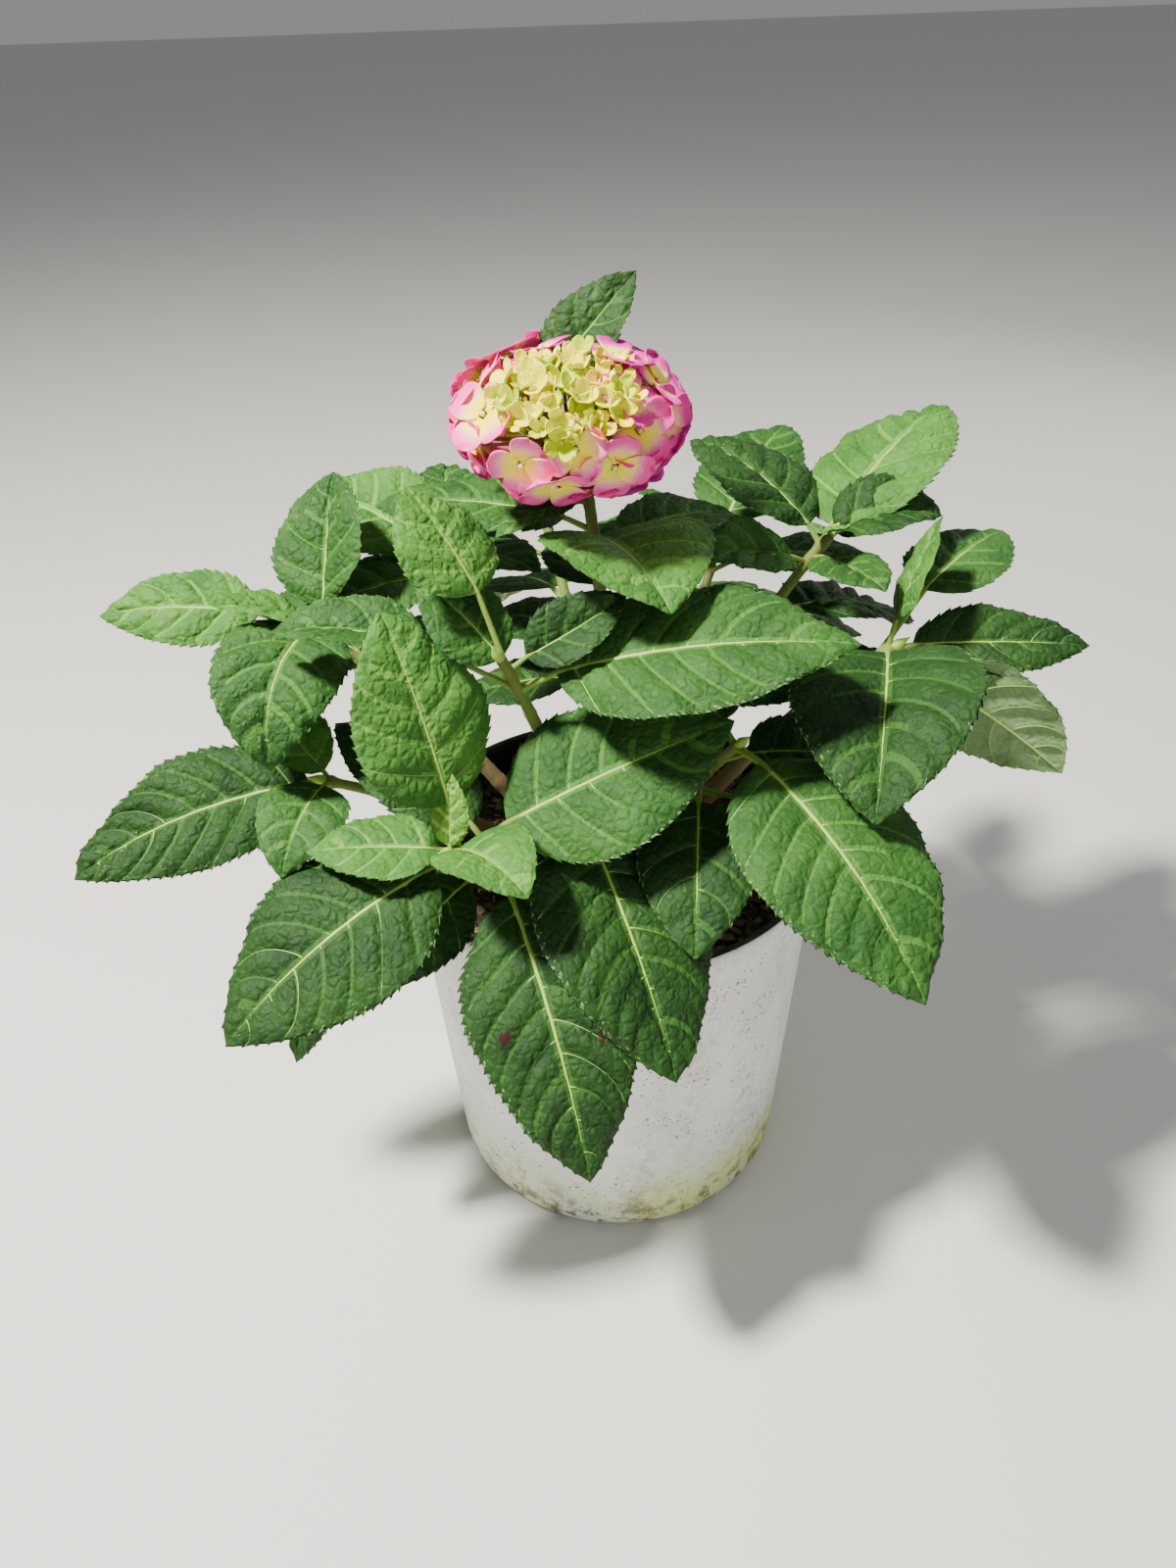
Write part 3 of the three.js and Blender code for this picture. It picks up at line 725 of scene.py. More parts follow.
@dataclass
class Leaf:
    """One leaf blade: ovate, toothed, folded along its midrib and quilted between its veins.

    Angles are degrees and lengths millimetres; the depths of quilting, teeth and waves are shares
    of the length. along and across below run 0 to 1 from base to tip following the side veins,
    and -1 to 1 from the left margin to the right one.
    """

    base: np.ndarray
    turn: float
    rise: float
    droop: float
    length: float
    width: float
    roll: float
    fold: float
    tone_and_shade: LeafToneAndShade
    seed: float
    pleats: float
    blotches: int
    curl: float = 26.0
    vein_lean: float = 0.24
    vein_shift: float = 0.4
    quilt: float = 0.019
    tooth_crest: float = 0.8
    tooth_slant: float = 0.3
    tooth_depth: float = 0.021
    broad_wave: float = 0.013
    fine_wave: float = 0.006
    thick: float = 0.42
    midrib_steps: int = 200

    def __post_init__(self) -> None:
        """Works out the midrib once: its places are the running sum of its directions."""
        self.share = np.linspace(0, 1, self.midrib_steps + 1)
        way = heading(self.turn, self.pitch((self.share[:-1] + self.share[1:]) / 2))
        steps = np.concatenate([np.zeros((1, 3)), np.cumsum(way, axis=0)])
        self.midrib = self.base + steps * self.length / self.midrib_steps
        self.veins = max(5, round(self.length / 15))
        self.teeth = max(9, round(self.length / 5))

    def pitch(self, u: np.ndarray) -> np.ndarray:
        """The midrib's rise at a share of its length: it bends down by its droop."""
        return self.rise - self.droop * u**1.2

    def sweep(self, along: np.ndarray) -> np.ndarray:
        """How much farther along a side vein meets the margin than it starts."""
        return self.vein_lean * np.sin(math.pi * along**0.8)

    def relief(self, along: np.ndarray, across: np.ndarray, u: np.ndarray) -> np.ndarray:
        """How high the quilting and waves stand, as a share of the length.

        Between two veins the face bulges by |sin|^0.7, with rungs of |sin|^0.6 across each bulge,
        and fades by the midrib and the margin. Two sine waves grow towards the margin.

        Args:
            along: place along, 0 to 1.
            across: place across, -1 to 1.
            u: place along without the lean of the veins.

        Returns:
            The relief at each place.
        """
        v, hand = np.abs(across), np.sign(across)
        phase = along * self.veins + self.vein_shift * (hand > 0)
        bulge = np.abs(np.sin(math.pi * phase)) ** 0.7
        run = 6 * v + 0.37 * np.floor(phase) + 0.3 * np.sin(27 * along)
        rungs = np.abs(np.sin(math.pi * run)) ** 0.6
        body = self.quilt * self.pleats * smooth(0.0, 0.16, v) * (1 - 0.75 * smooth(0.72, 1.0, v))
        quilting = (0.78 * (bulge - 0.35) + 0.42 * (rungs - 0.5) * bulge) * body
        broad = self.broad_wave * v**2 * np.sin(ROUND * 2.1 * u + self.seed + 1.9 * hand)
        return quilting + broad + self.fine_wave * v**3 * np.sin(ROUND * 5.3 * u + 2.7 * self.seed)

    def surface(
        self, along: np.ndarray, across: np.ndarray, lift: np.ndarray | float
    ) -> np.ndarray:
        """Points of the blade.

        A point stands out from the midrib along a circular arc that starts at the fold's slope
        and curls down, over a half width of 1.39 * width * u^0.6 * (1 - u)^0.92. Teeth rise
        slowly and fall fast, and move their corners out and towards the tip.

        Args:
            along: place along, 0 to 1.
            across: place across, -1 to 1.
            lift: height above the middle surface, in millimetres.

        Returns:
            Points, with a last axis of three.
        """
        v, hand = np.abs(across), np.sign(across)
        u = along + v**1.4 * self.sweep(along)
        tooth = (u * self.teeth) % 1.0
        crest = self.tooth_crest
        bite = np.where(tooth < crest, (tooth / crest) ** 1.2, (1.0 - tooth) / (1.0 - crest))
        ends = smooth(0.02, 0.1, u) * (1 - smooth(0.93, 0.995, u))
        rim = smooth(0.84, 1.0, v) * ends
        u = np.clip(u + self.tooth_slant * bite * rim / self.teeth, 0.0, 1.0)
        half = np.maximum(1.39 * self.width * u**0.6 * (1 - u) ** 0.92, 0.35)
        half = (half + self.tooth_depth * self.length * (bite - 0.4) * rim)[..., None]
        up, side = heading(self.turn, self.pitch(u) + 90), heading(self.turn - 90, 0)
        roll, fold, curl = np.radians([self.roll, self.fold, self.curl])
        right, upper = swung(roll, side, up), swung(roll, up, -side)
        slope = (fold - curl * v)[..., None]
        out = hand[..., None] * (math.sin(fold) - np.sin(slope)) / curl
        high = (np.cos(slope) - math.cos(fold)) / curl
        normal = np.cos(slope) * upper - hand[..., None] * np.sin(slope) * right
        spine = np.stack([np.interp(u, self.share, line) for line in self.midrib.T], -1)
        raised = self.length * ends * self.relief(along, across, u) + lift
        return spine + half * (out * right + high * upper) + raised[..., None] * normal

    def blade(self) -> Patch:
        """The blade as one closed lens: its lower face follows the upper one's relief.

        Returns:
            The patch, with strips beside the veins and any blotches as finishes of their own.
        """
        phases = [0.0, 0.45, self.tooth_crest, 0.92]
        ends = (np.arange(self.teeth)[:, None] + phases).ravel() / self.teeth
        table = np.linspace(0, 1, 400)
        along = np.interp(np.append(ends, 1.0), table + self.sweep(table), table)
        half = np.concatenate([np.linspace(0, 0.88, 13), [0.93, 0.97, 1.0]])
        a, v = np.meshgrid(along, np.concatenate([-half[:0:-1], half]), indexing="ij")
        thick = 0.5 * self.thick * (1 - v**6)
        upper = self.surface(a, v, thick)
        lower = self.surface(a, v, -thick)[1:-1, 1:-1]
        ids = np.arange(a.size).reshape(a.shape)
        under = ids.copy()
        under[1:-1, 1:-1] = a.size + np.arange(lower.size // 3).reshape(lower.shape[:2])
        top, bottom = lattice(ids), lattice(under)[:, ::-1]
        finish = np.full(len(top), self.tone_and_shade.value)
        finish[self.beside_vein(a, v)] += LeafFinishes.BESIDE_VEIN
        spots = upper[1:, 1:].reshape(-1, 3)
        for k in range(self.blotches):
            at = self.surface(np.array(0.36 + 0.08 * k), np.array(0.6 - 1.15 * k), 0.0)
            size = 2.8 - 0.4 * k + 0.6 * ripple(spots[:, 0] / 2, spots[:, 1] / 2, 0.3 + k)
            finish[np.linalg.norm(spots - at, axis=1) < size] = LeafFinishes.BLOTCH
        points = np.concatenate([upper.reshape(-1, 3), lower.reshape(-1, 3)])
        finish = np.concatenate([finish, np.full(len(bottom), LeafFinishes.UNDER)])
        return Patch(points, np.concatenate([top, bottom]), finish)

    def beside_vein(self, along: np.ndarray, across: np.ndarray) -> np.ndarray:
        """Which faces of a grid lie beside the midrib or a side vein.

        Args:
            along: place along of each corner.
            across: place across of each corner.

        Returns:
            True or False for each face.
        """
        a = (along[:-1, 1:] + along[1:, 1:]) / 2
        v = (across[1:, :-1] + across[1:, 1:]) / 2
        phase = a * self.veins + self.vein_shift * (v > 0)
        away = np.abs(phase - np.round(phase)) * self.length / self.veins
        near = away < 0.45 + 0.6 * (1 - np.abs(v))
        return ((near & (np.abs(v) < 0.85) & (a < 0.84)) | (np.abs(v) < 0.07)).ravel()

    def ribs(self) -> Patch:
        """The midrib and side veins: slim limbs that lie in the grooves of the blade.

        Returns:
            The closed patch.
        """
        size = (self.length / 130) ** 0.7
        s = np.linspace(0.0, 0.97, 26)
        thick = size * (1.25 * (1 - s) ** 0.8 + 0.3)
        middle = self.surface(s, 0 * s, -0.18 * size)
        found = [tube(middle, thick, 6, VeinPart.MIDRIB.value, 0.75)]
        v = np.linspace(0.0, 0.93, 13)
        for hand, shift in ((-1, 0.0), (1, self.vein_shift)):
            starts = (np.arange(1, self.veins + 1) - shift) / self.veins
            for start in starts[(starts > 0.03) & (starts < 0.9)]:
                line = self.surface(start + 0 * v, hand * np.maximum(v, 1e-4), 0.1)
                thin = size * (0.66 - 0.4 * v) * (1 - 0.3 * start)
                found.append(tube(line, thin, 5, VeinPart.SIDE.value, 0.7))
        return joined(found)


# ---- shoots


class Skin(Enum):
    """Finish numbers of stems, petioles and buds."""

    STEM = 0
    PETIOLE = 1
    BUD = 2


@dataclass
class Shoot:
    """A cane and its leafy shoot: a curve from the mix that leans over towards its tip."""

    name: str
    foot: tuple[float, float]
    tip: Place
    tones_and_shades: str
    pleats: float
    rows: list[tuple[float, ...]]
    cane_foot: float = 5.0
    cane_tip: float = 3.2
    shoot_tip: float = 2.3
    swelling: float = 0.375
    knee_lean: float = 0.4
    knee_rise: float = 0.62
    bare: float = 0.08

    def point(self, t: np.ndarray | float) -> np.ndarray:
        """The middle line: a parabola-like curve from the foot by way of a knee to the tip.

        Args:
            t: shares of the way.

        Returns:
            The points, in millimetres.
        """
        t = np.asarray(t, float)[..., None]
        foot, tip = np.array([*self.foot, MIX_TOP + GAP]), np.array(self.tip, float)
        knee = (1 - self.knee_lean) * foot + self.knee_lean * tip
        knee[2] = MIX_TOP + self.knee_rise * (tip[2] - MIX_TOP)
        return (1 - t) ** 2 * foot + 2 * t * (1 - t) * knee + t**2 * tip

    @property
    def split(self) -> float:
        """Where the bare cane ends and the leafy shoot begins."""
        return min(row[0] for row in self.rows) - self.bare

    def leaf(self, number: int) -> tuple[Leaf, np.ndarray]:
        """Makes the leaf of a row of the table.

        Args:
            number: the row.

        Returns:
            The leaf, and where its petiole leaves the stem.
        """
        place, stalk, turn, rise, droop, length, width, roll, fold, *way = self.rows[number]
        root = self.point(place)
        base = root + stalk * heading(*(way or (turn, min(80, rise + 12))))
        letter = self.tones_and_shades[number]
        seed = 1.3 * number + 0.7 * len(self.name)
        shape = (turn, rise, droop, length, width, roll, fold)
        blotches = 2 if letter == SPOTTED else 0
        return Leaf(base, *shape, TONES_AND_SHADES[letter], seed, self.pleats, blotches), root

    def cane(self) -> Patch:
        """The bare cane with its bark's ridges and rings.

        Returns:
            The closed patch.
        """
        t = np.linspace(0, self.split, 60)
        radius = np.interp(t, [0, self.split], [self.cane_foot, self.cane_tip])

        def bark(place: np.ndarray, angle: np.ndarray) -> np.ndarray:
            """Low sine ridges along the cane and a ring at every 23rd place.

            Args:
                place: number of the place along the cane.
                angle: angle round it.

            Returns:
                What to add to the radius.
            """
            ridges = 0.16 * np.sin(7 * angle + 0.15 * place)
            ring = 0.35 * np.exp(-((((place % 23) - 11) / 1.4) ** 2))
            return ridges + 0.1 * ripple(angle * 2.5, place / 3, 1.7) + ring

        return tube(self.point(t), radius, 20, Skin.STEM.value, relief=bark)

    def stem(self) -> Patch:
        """The leafy part of the stem, swollen where leaves join it.

        Returns:
            The closed patch.
        """
        t = np.linspace(self.split + 0.002, 1.0, 60)
        joints = np.array([row[:1] for row in self.rows])
        radius = np.interp(t, [self.split, 1.0], [self.cane_tip, self.shoot_tip])
        radius += self.swelling * np.exp(-(((t - joints) / 0.018) ** 2)).sum(axis=0)
        return tube(self.point(t), radius, 14, Skin.STEM.value)

    def petioles(self) -> list[Patch]:
        """The leaf stalks: from inside the stem, by way of the blade's base, into its midrib.

        Returns:
            A closed patch for each leaf.
        """
        made = []
        s = np.linspace(0, 4, 22)
        for leaf, root in map(self.leaf, range(len(self.rows))):
            inner = leaf.surface(np.array([0.05, 0.1]), np.zeros(2), -0.3)
            knots = np.stack([root, (root + leaf.base) / 2, leaf.base, *inner])
            path = np.stack([np.interp(s, range(5), line) for line in knots.T], 1)
            path[2:-2] = (path[:-4] + path[1:-3] + path[2:-2] + path[3:-1] + path[4:]) / 5
            thin = min(1.0, 0.55 + leaf.length / 260)
            radius = thin * np.interp(s, [0, 0.5, 3, 4], [3.0, 1.9, 1.5, 1.0])
            made.append(tube(path, radius, 10, Skin.PETIOLE.value, flat=0.85))
        return made

    def bud(self) -> Patch:
        """The growing tip: a pointed bud.

        Returns:
            The closed patch.
        """
        top = self.point(1.0)
        path = top + np.linspace(-1, 9, 8)[:, None] * unit(top - self.point(0.96))
        return tube(path, np.array([2.2, 2.5, 2.7, 2.5, 2.0, 1.3, 0.7, 0.2]), 8, Skin.BUD.value)


@dataclass
class Shrub:
    """All canes, shoots and leaves."""

    shoots: list[Shoot]

    def build(self, leaf_finishes: LeafFinishes) -> None:
        """Makes and dresses the canes, the leafy stems and each shoot's leaves and veins.

        Args:
            leaf_finishes: the finishes of blades and veins.
        """
        skins = mixed(
            SpeckledFinish("stem_green", (108, 130, 50), (96, 98, 46), (72, 48, 36), 0.85),
            SpeckledFinish("petiole_green", (122, 156, 58), (106, 126, 50), (100, 52, 46), 0.7),
            PlainFinish("bud_green", (150, 186, 70), 0.5),
        )
        brown = ((128, 118, 74), (104, 86, 56), (62, 44, 34))
        bark = mixed(SpeckledFinish("cane_bark", *brown, specks=0.9, rough=0.75))
        canes = [f"cane_{s.name}" for s in self.shoots]
        masses = [f"foliage_{s.name}" for s in self.shoots]
        shown("canes", joined([s.cane() for s in self.shoots]), bark, canes)
        twigs = []
        for s in self.shoots:
            twigs += [s.stem(), *s.petioles()]
            if s.name != "flower":
                twigs.append(s.bud())
        shown("stems_and_petioles", joined(twigs), skins, masses)
        veins = []
        for s, mass in zip(self.shoots, masses):
            leaves = [s.leaf(number)[0] for number in range(len(s.rows))]
            blades = joined([leaf.blade() for leaf in leaves])
            shown(f"leaves_{s.name}", blades, leaf_finishes.blades, [mass])
            veins += [leaf.ribs() for leaf in leaves]
        half = len(veins) // 2
        for name, part in (("leaf_veins_front", veins[:half]), ("leaf_veins_back", veins[half:])):
            shown(name, joined(part), leaf_finishes.veins, masses)


# ---- flower


# The last, deepest purples are reached mostly by rims on the right and back of the head: partly the
# florets' own colour and partly painted shade.
PETAL_COLORS = (
    (178, 206, 0), (236, 228, 0), (255, 238, 62), (255, 206, 140),
    (252, 128, 180), (242, 58, 156), (198, 40, 146), (146, 34, 136),
)
BETWEEN = 3
LAST_TINT = BETWEEN * (len(PETAL_COLORS) - 1)


def petal_tints() -> list[Place]:
    """Mixes the finishes' colours: PETAL_COLORS with even steps between each two.

    Returns:
        The colours, from root to rim.
    """
    places = np.arange(LAST_TINT + 1) / BETWEEN
    mixed = [np.interp(places, range(len(PETAL_COLORS)), one) for one in zip(*PETAL_COLORS)]
    return [tuple(float(c) for c in row) for row in np.transpose(mixed)]


@dataclass
class FlowerHead:
    """The rounded head: pink florets of four sepals round a crown of young yellow-green ones."""

    centre: Place = (-15.0, 0.0, 439.0)
    radii: Place = (47.0, 45.0, 27.0)
    foot: Place = (-8.0, 2.0, 408.4)
    florets: int = 40
    sepal: float = 16.0
    sepal_thick: float = 0.35
    highest: float = 0.87
    lowest: float = -0.86
    young_share: float = 0.56
    young_florets: int = 36
    young_sepal: float = 8.6
    crown_way: Place = (0.0, -0.76, 0.65)
    leaf_room: float = 9.0
    young_leaf_room: float = 5.4
    wildness: float = 0.24
    young_wildness: float = 0.35
    stalk: SpeckledFinish = SpeckledFinish(
        "flower_stalk", (170, 178, 110), (150, 138, 88), (110, 72, 58), 0.5
    )

    def turned(self, h: float, a: float) -> np.ndarray:
        """A direction from the middle of the head.

        Args:
            h: its share of the way up the crown's own axis.
            a: its angle round that axis.

        Returns:
            The unit vector.
        """
        up = unit(np.array(self.crown_way))
        side = unit(np.cross([0.0, 1.0, 0.0], up))
        return math.sqrt(1 - h * h) * swung(a, side, np.cross(up, side)) + h * up

    def facing(self, way: np.ndarray, wild: np.ndarray) -> np.ndarray:
        """The way off the head's rounded face, turned a little by wild."""
        return unit(way / self.radii * 40 + wild)

    def spot(self, i: int) -> tuple[np.ndarray, np.ndarray]:
        """Finds the place of a floret: even steps in height and golden turns round.

        Args:
            i: its number.

        Returns:
            Where it sits and which way it faces.
        """
        h = self.highest - (self.highest - self.lowest) * (i + 0.5) / self.florets
        way = self.turned(h, i * GOLDEN_TURN)
        place = self.centre + way * self.radii * (1.0 + 0.07 * math.sin(i * 4.7))
        wild = np.array([math.cos(i * 1.7), math.sin(i * 2.3), 0.3])
        return place, self.facing(way, self.wildness * wild)

    def young_spot(self, i: int) -> tuple[np.ndarray, np.ndarray]:
        """Finds the place of a young floret: even shares of the crown's area, golden turns round.

        Args:
            i: its number.

        Returns:
            Where it sits and which way it faces.
        """
        r = self.young_share * math.sqrt((i + 0.5) / self.young_florets)
        way = self.turned(math.sqrt(1 - r * r), i * GOLDEN_TURN + 0.8)
        place = self.centre + way * (np.array(self.radii) + 1.5 + 1.8 * math.sin(i * 3.3))
        wild = np.array([math.cos(i * 2.7), math.sin(i * 1.9), math.sin(i * 4.1)])
        return place, self.facing(way, self.young_wildness * wild)

    def petal(
        self,
        place: np.ndarray,
        out: np.ndarray,
        facing: np.ndarray,
        size: float,
        tints: tuple[float, float],
        seed: float,
    ) -> Patch:
        """One sepal: half width is size * 0.72 * a^0.55 * (1 - a^3)^0.5, cupped across and waved.

        Args:
            place: its root.
            out: its direction.
            facing: the side it turns to the light.
            size: its length.
            tints: places along PETAL_COLORS at its root and at its rim.
            seed: which waves.

        Returns:
            The patch, its finish changing from root to rim.
        """
        steps = (np.linspace(0.02**0.5, 1, 12) ** 1.2, np.linspace(-1, 1, 11))
        a, b = np.meshgrid(*steps, indexing="ij")
        half = 0.72 * a**0.55 * np.maximum(1 - a**3, 0.0) ** 0.5
        length = a - 0.05 * a**6 * (1 - np.abs(b)) ** 4
        lift = 0.12 * a**2 - 0.13 * a**4 + 0.07 * b**2 * a
        lift += 0.03 * a**2 * np.sin(4 * b + seed) + 0.02 * np.sin(7 * a + 3 * b + seed)
        axes = np.stack([out, np.cross(facing, out), facing])
        points = place + size * np.stack([length, half * b, lift], -1) @ axes
        quads = lattice(np.arange(a.size).reshape(a.shape))[:, ::-1]
        row, col = ((q[:-1, :-1] + q[1:, 1:]).ravel() / 2 for q in (a, b))
        root, rim = tints
        blend = smooth(0.22, 0.9, row + 0.2 * np.abs(col) * row + 0.06 * math.sin(seed))
        finish = np.clip(np.round(BETWEEN * (root + (rim - root) * blend)), 0, LAST_TINT)
        return Patch(points.reshape(-1, 3), quads, finish.astype(int))

    def build(self, leaf: Leaf) -> None:
        """Makes and dresses sepals, middles, closed buds and stalks.

        Args:
            leaf: the leaf that stands up through the head; florets keep clear of it.
        """
        centre = np.array(self.centre)
        crown = centre + [3, 0, -16]
        stalks = [tube(np.linspace(self.foot, crown, 10), np.linspace(2.5, 3.4, 10), 12)]
        sepals, beads = [], []
        spots = [(*self.spot(i), False) for i in range(self.florets)]
        spots += [(*self.young_spot(i), True) for i in range(self.young_florets)]
        for i, (place, facing, young) in enumerate(spots):
            room = self.young_leaf_room if young else self.leaf_room
            if np.linalg.norm(leaf.midrib - place, axis=1).min() < room:
                continue
            guide = unit(np.cross(facing, [0.3, 0.2, 0.93]))
            other = np.cross(facing, guide)
            size = (self.young_sepal if young else self.sepal) * (0.97 + 0.13 * math.sin(i * 5.1))
            # Painted light and shade: florets towards the lit left and front of the head get paler,
            # creamier tints, those towards the right and back deeper purple ones.
            lit = (centre - place) @ [0.6, 0.7, 0.0] / 45
            root = 0.5 if young else 2.1 - 0.3 * lit + 0.4 * math.sin(i * 3.1)
            edge = 1.3 + math.sin(i * 1.7) if young else 5.6 - 1.2 * lit + 0.5 * math.sin(i * 2.3)
            for k in range(4):
                a = k * math.pi / 2 + i * 1.13 + 0.09 * math.sin(i + 2.2 * k)
                cup = (0.75 + 0.5 * math.sin(i * 2.2) ** 2 if young else 0.04) + 0.06 * (k % 2)
                out = unit(swung(a, guide, other) + cup * facing)
                base = place + 0.45 * (k % 2) * facing
                sepals.append(self.petal(base, out, facing, size, (root, edge), i * 1.9 + k))
            beads.append(bead(place + facing, np.full(3, 1.3), 0 if young else 1))
            fork = centre + (place - centre) * [0.45, 0.45, 0.3] - [0, 0, 7]
            low, high = crown * 0.4 + fork * 0.6, place * 0.6 + fork * 0.4
            path = np.stack([crown - [0, 0, 2], low, fork, high, place])
            stalks.append(tube(path, np.array([1.3, 1.1, 0.9, 0.7, 0.6]), 6))
            for k in range(3 if young else 0):
                near = place + 4.2 * swung(i * 2.1 + k * 2.09, guide, other) - 0.6 * facing
                beads.append(bead(near, np.full(3, 1.35 + 0.4 * math.sin(i + 2.0 * k)), 0))
        colors = [
            PlainFinish(f"petal_{k}", color, 0.6, 700, 0.0003, 0.2)
            for k, color in enumerate(petal_tints())
        ]
        dots = (
            PlainFinish("closed_bud_green", (206, 222, 60), 0.5),
            PlainFinish("floret_middle_cream", (236, 226, 160), 0.5),
        )
        node = ["flower_head"]
        petals = shown("flower_sepals", joined(sepals), mixed(*colors), node)
        wall = petals.modifiers.new("thickness", "SOLIDIFY")
        wall.thickness = self.sepal_thick * MM
        wall.offset = 0.0
        shown("flower_buds", joined(beads), mixed(*dots), node)
        shown("flower_stalks", joined(stalks), mixed(self.stalk), node)


# ---- pot and mix


@dataclass
class Pot:
    """The tapered nursery pot: pale outside, black inside, with a folded rim and a notched foot."""

    height: float = 215.0
    rim: float = 112.0
    rim_depth: float = 13.0
    rim_step: float = 2.4
    foot: float = 97.0
    round: float = 7.0
    wall: float = 2.0
    floor: float = 3.0
    notches: int = 8
    notch_width: float = 9.0
    notch_depth: float = 2.2
    sheet_edge: float = 85.5
    around: int = 288

    def side(self, z: np.ndarray | float) -> np.ndarray | float:
        """Outer radius at a height: a straight taper."""
        return self.foot + (self.rim - self.rim_step - self.foot) * z / self.height

    def profile(self) -> tuple[np.ndarray, int]:
        """Radius and height from the middle of the underside, up outside and down inside.

        Returns:
            The corners, and how many of them are on the pale outside.
        """
        a = np.linspace(0, math.pi / 2, 9)
        start = [(r, 0) for r in (0.2, 30, 60, 80, 84, 86.5)]
        across, up = self.foot - self.round * (1 - np.sin(a)), self.round * (1 - np.cos(a))
        under = self.height - self.rim_depth
        z = np.linspace(self.round + 1.5, under - 2.2, 46)
        lip = [
            (self.side(under) - 0.1, under - 1.0),
            (self.side(under) + 0.25, under - 0.25),
            (self.rim - 1.3, under + 0.1),
            (self.rim - 0.4, under + 0.7),
            (self.rim, under + 2),
        ]
        inwards = (0, 0.1, 0.7, 1.6, 3.0, 4.1, 4.6)
        down = (5, 1.6, 0.5, 0, 0, 0.4, 1.4)
        lip += [(self.rim - r, self.height - d) for r, d in zip(inwards, down)]
        depth = np.linspace(under, self.floor + 6, 20)
        inner = np.stack([self.side(depth) - self.wall, depth], 1)
        end = [(r, self.floor) for r in (self.side(0) - self.wall - 6, 60, 20, 0.2)]
        outer = [start, np.stack([across, up], 1), np.stack([self.side(z), z], 1), lip]
        inside_lip = 4
        pale = sum(map(len, outer)) - inside_lip
        return np.concatenate([*outer, inner, end]), pale

    def build(self) -> None:
        """Makes and dresses the pot: its profile turned round, a little out of true, and notched.

        The side waves by two sines of the angle. Under the foot the profile is lifted to the
        notch depth where the way round to the nearest notch is under half its width.
        """
        profile, pale = self.profile()
        angle = angles(self.around)
        r, z = (profile[:, k : k + 1] + 0 * angle for k in (0, 1))
        rows = np.arange(len(profile))[:, None]
        waves = 0.12 * np.sin(2 * angle + 0.6) + 0.1 * np.sin(5 * angle + z / 60)
        r = r + np.where((rows > 14) & (rows < pale - 8), waves, 0)
        step = ROUND / self.notches
        off = np.abs(angle % step - step / 2) * self.foot
        mask = 1 - smooth(self.notch_width / 2 - 0.8, self.notch_width / 2 + 0.3, off)
        reach = smooth(self.sheet_edge, self.sheet_edge + 1, profile[:, :1])
        lifted = np.maximum(z, self.notch_depth * mask * reach)
        z = np.where((z < self.notch_depth) & (rows < pale), lifted, z)
        black = (np.arange(len(profile) - 1) >= pale - 1).astype(int)
        patch = rings(wheel(r, z, angle), [[0, 0, 0], [0, 0, self.floor]], black)
        shown("pot_shell", patch, [self.outside(), self.inside()], ["pot"])

    @staticmethod
    def outside() -> bpy.types.Material:
        """Pale plastic: dust, brown smears, specks, and a green tint and splashes near the foot.

        Returns:
            The material.
        """
        p = Paint("pot_pale_plastic")
        z = p.height()
        cloud = p.noise(14, 4, 0.62)
        streak = p.noise(9, 5, 0.65, squeeze=(2.2, 2.2, 0.55)).step(0.47, 0.68)
        fine = p.noise(160, 4, 0.7)
        base = p.mix(cloud.step(0.3, 0.75), (234, 236, 232), (212, 214, 211))
        tinted = p.mix(z.step(0.07, 0.004) * cloud.step(0.25, 0.65) * 0.85, base, (212, 226, 104))
        smear = streak * fine.step(0.35, 0.65) * 0.45
        dirty = p.mix(smear, tinted, (138, 118, 92))
        dots = p.cells(150).step(0.16, 0.1) + p.cells(330).step(0.24, 0.14)
        specks = dots * p.noise(45, 3).step(0.42, 0.58)
        spotted = p.mix((specks * 0.85).clamp(), dirty, (78, 68, 54))
        splash = z.step(0.05, 0.0) * p.noise(95, 4, 0.7).step(0.47, 0.62)
        muddy = p.mix(splash * 0.9, spotted, (86, 68, 50))
        rim = z.step(0.2, 0.214) * p.noise(60, 3, 0.6).step(0.5, 0.7) * 0.5
        color = p.mix(rim, muddy, (120, 108, 90))
        scuff = p.noise(70, 5, 0.7, squeeze=(1, 1, 5))
        p.bump(fine * 0.5 + scuff * 0.3 + specks * 0.5, 0.0005, 0.45)
        rough = 0.36 + 0.2 * cloud + 0.25 * smear + 0.3 * splash
        return p.finish(Base_Color=color, Roughness=rough, Specular_IOR_Level=0.5)

    @staticmethod
    def inside() -> bpy.types.Material:
        """Black plastic with a little dust.

        Returns:
            The material.
        """
        p = Paint("pot_black_plastic")
        dust = p.noise(55, 4, 0.65).step(0.45, 0.75)
        color = p.mix(dust * 0.5, (24, 24, 25), (92, 84, 72))
        p.bump(p.noise(300, 3, 0.6), 0.0004, 0.4)
        return p.finish(Base_Color=color, Roughness=0.45 + 0.3 * dust)


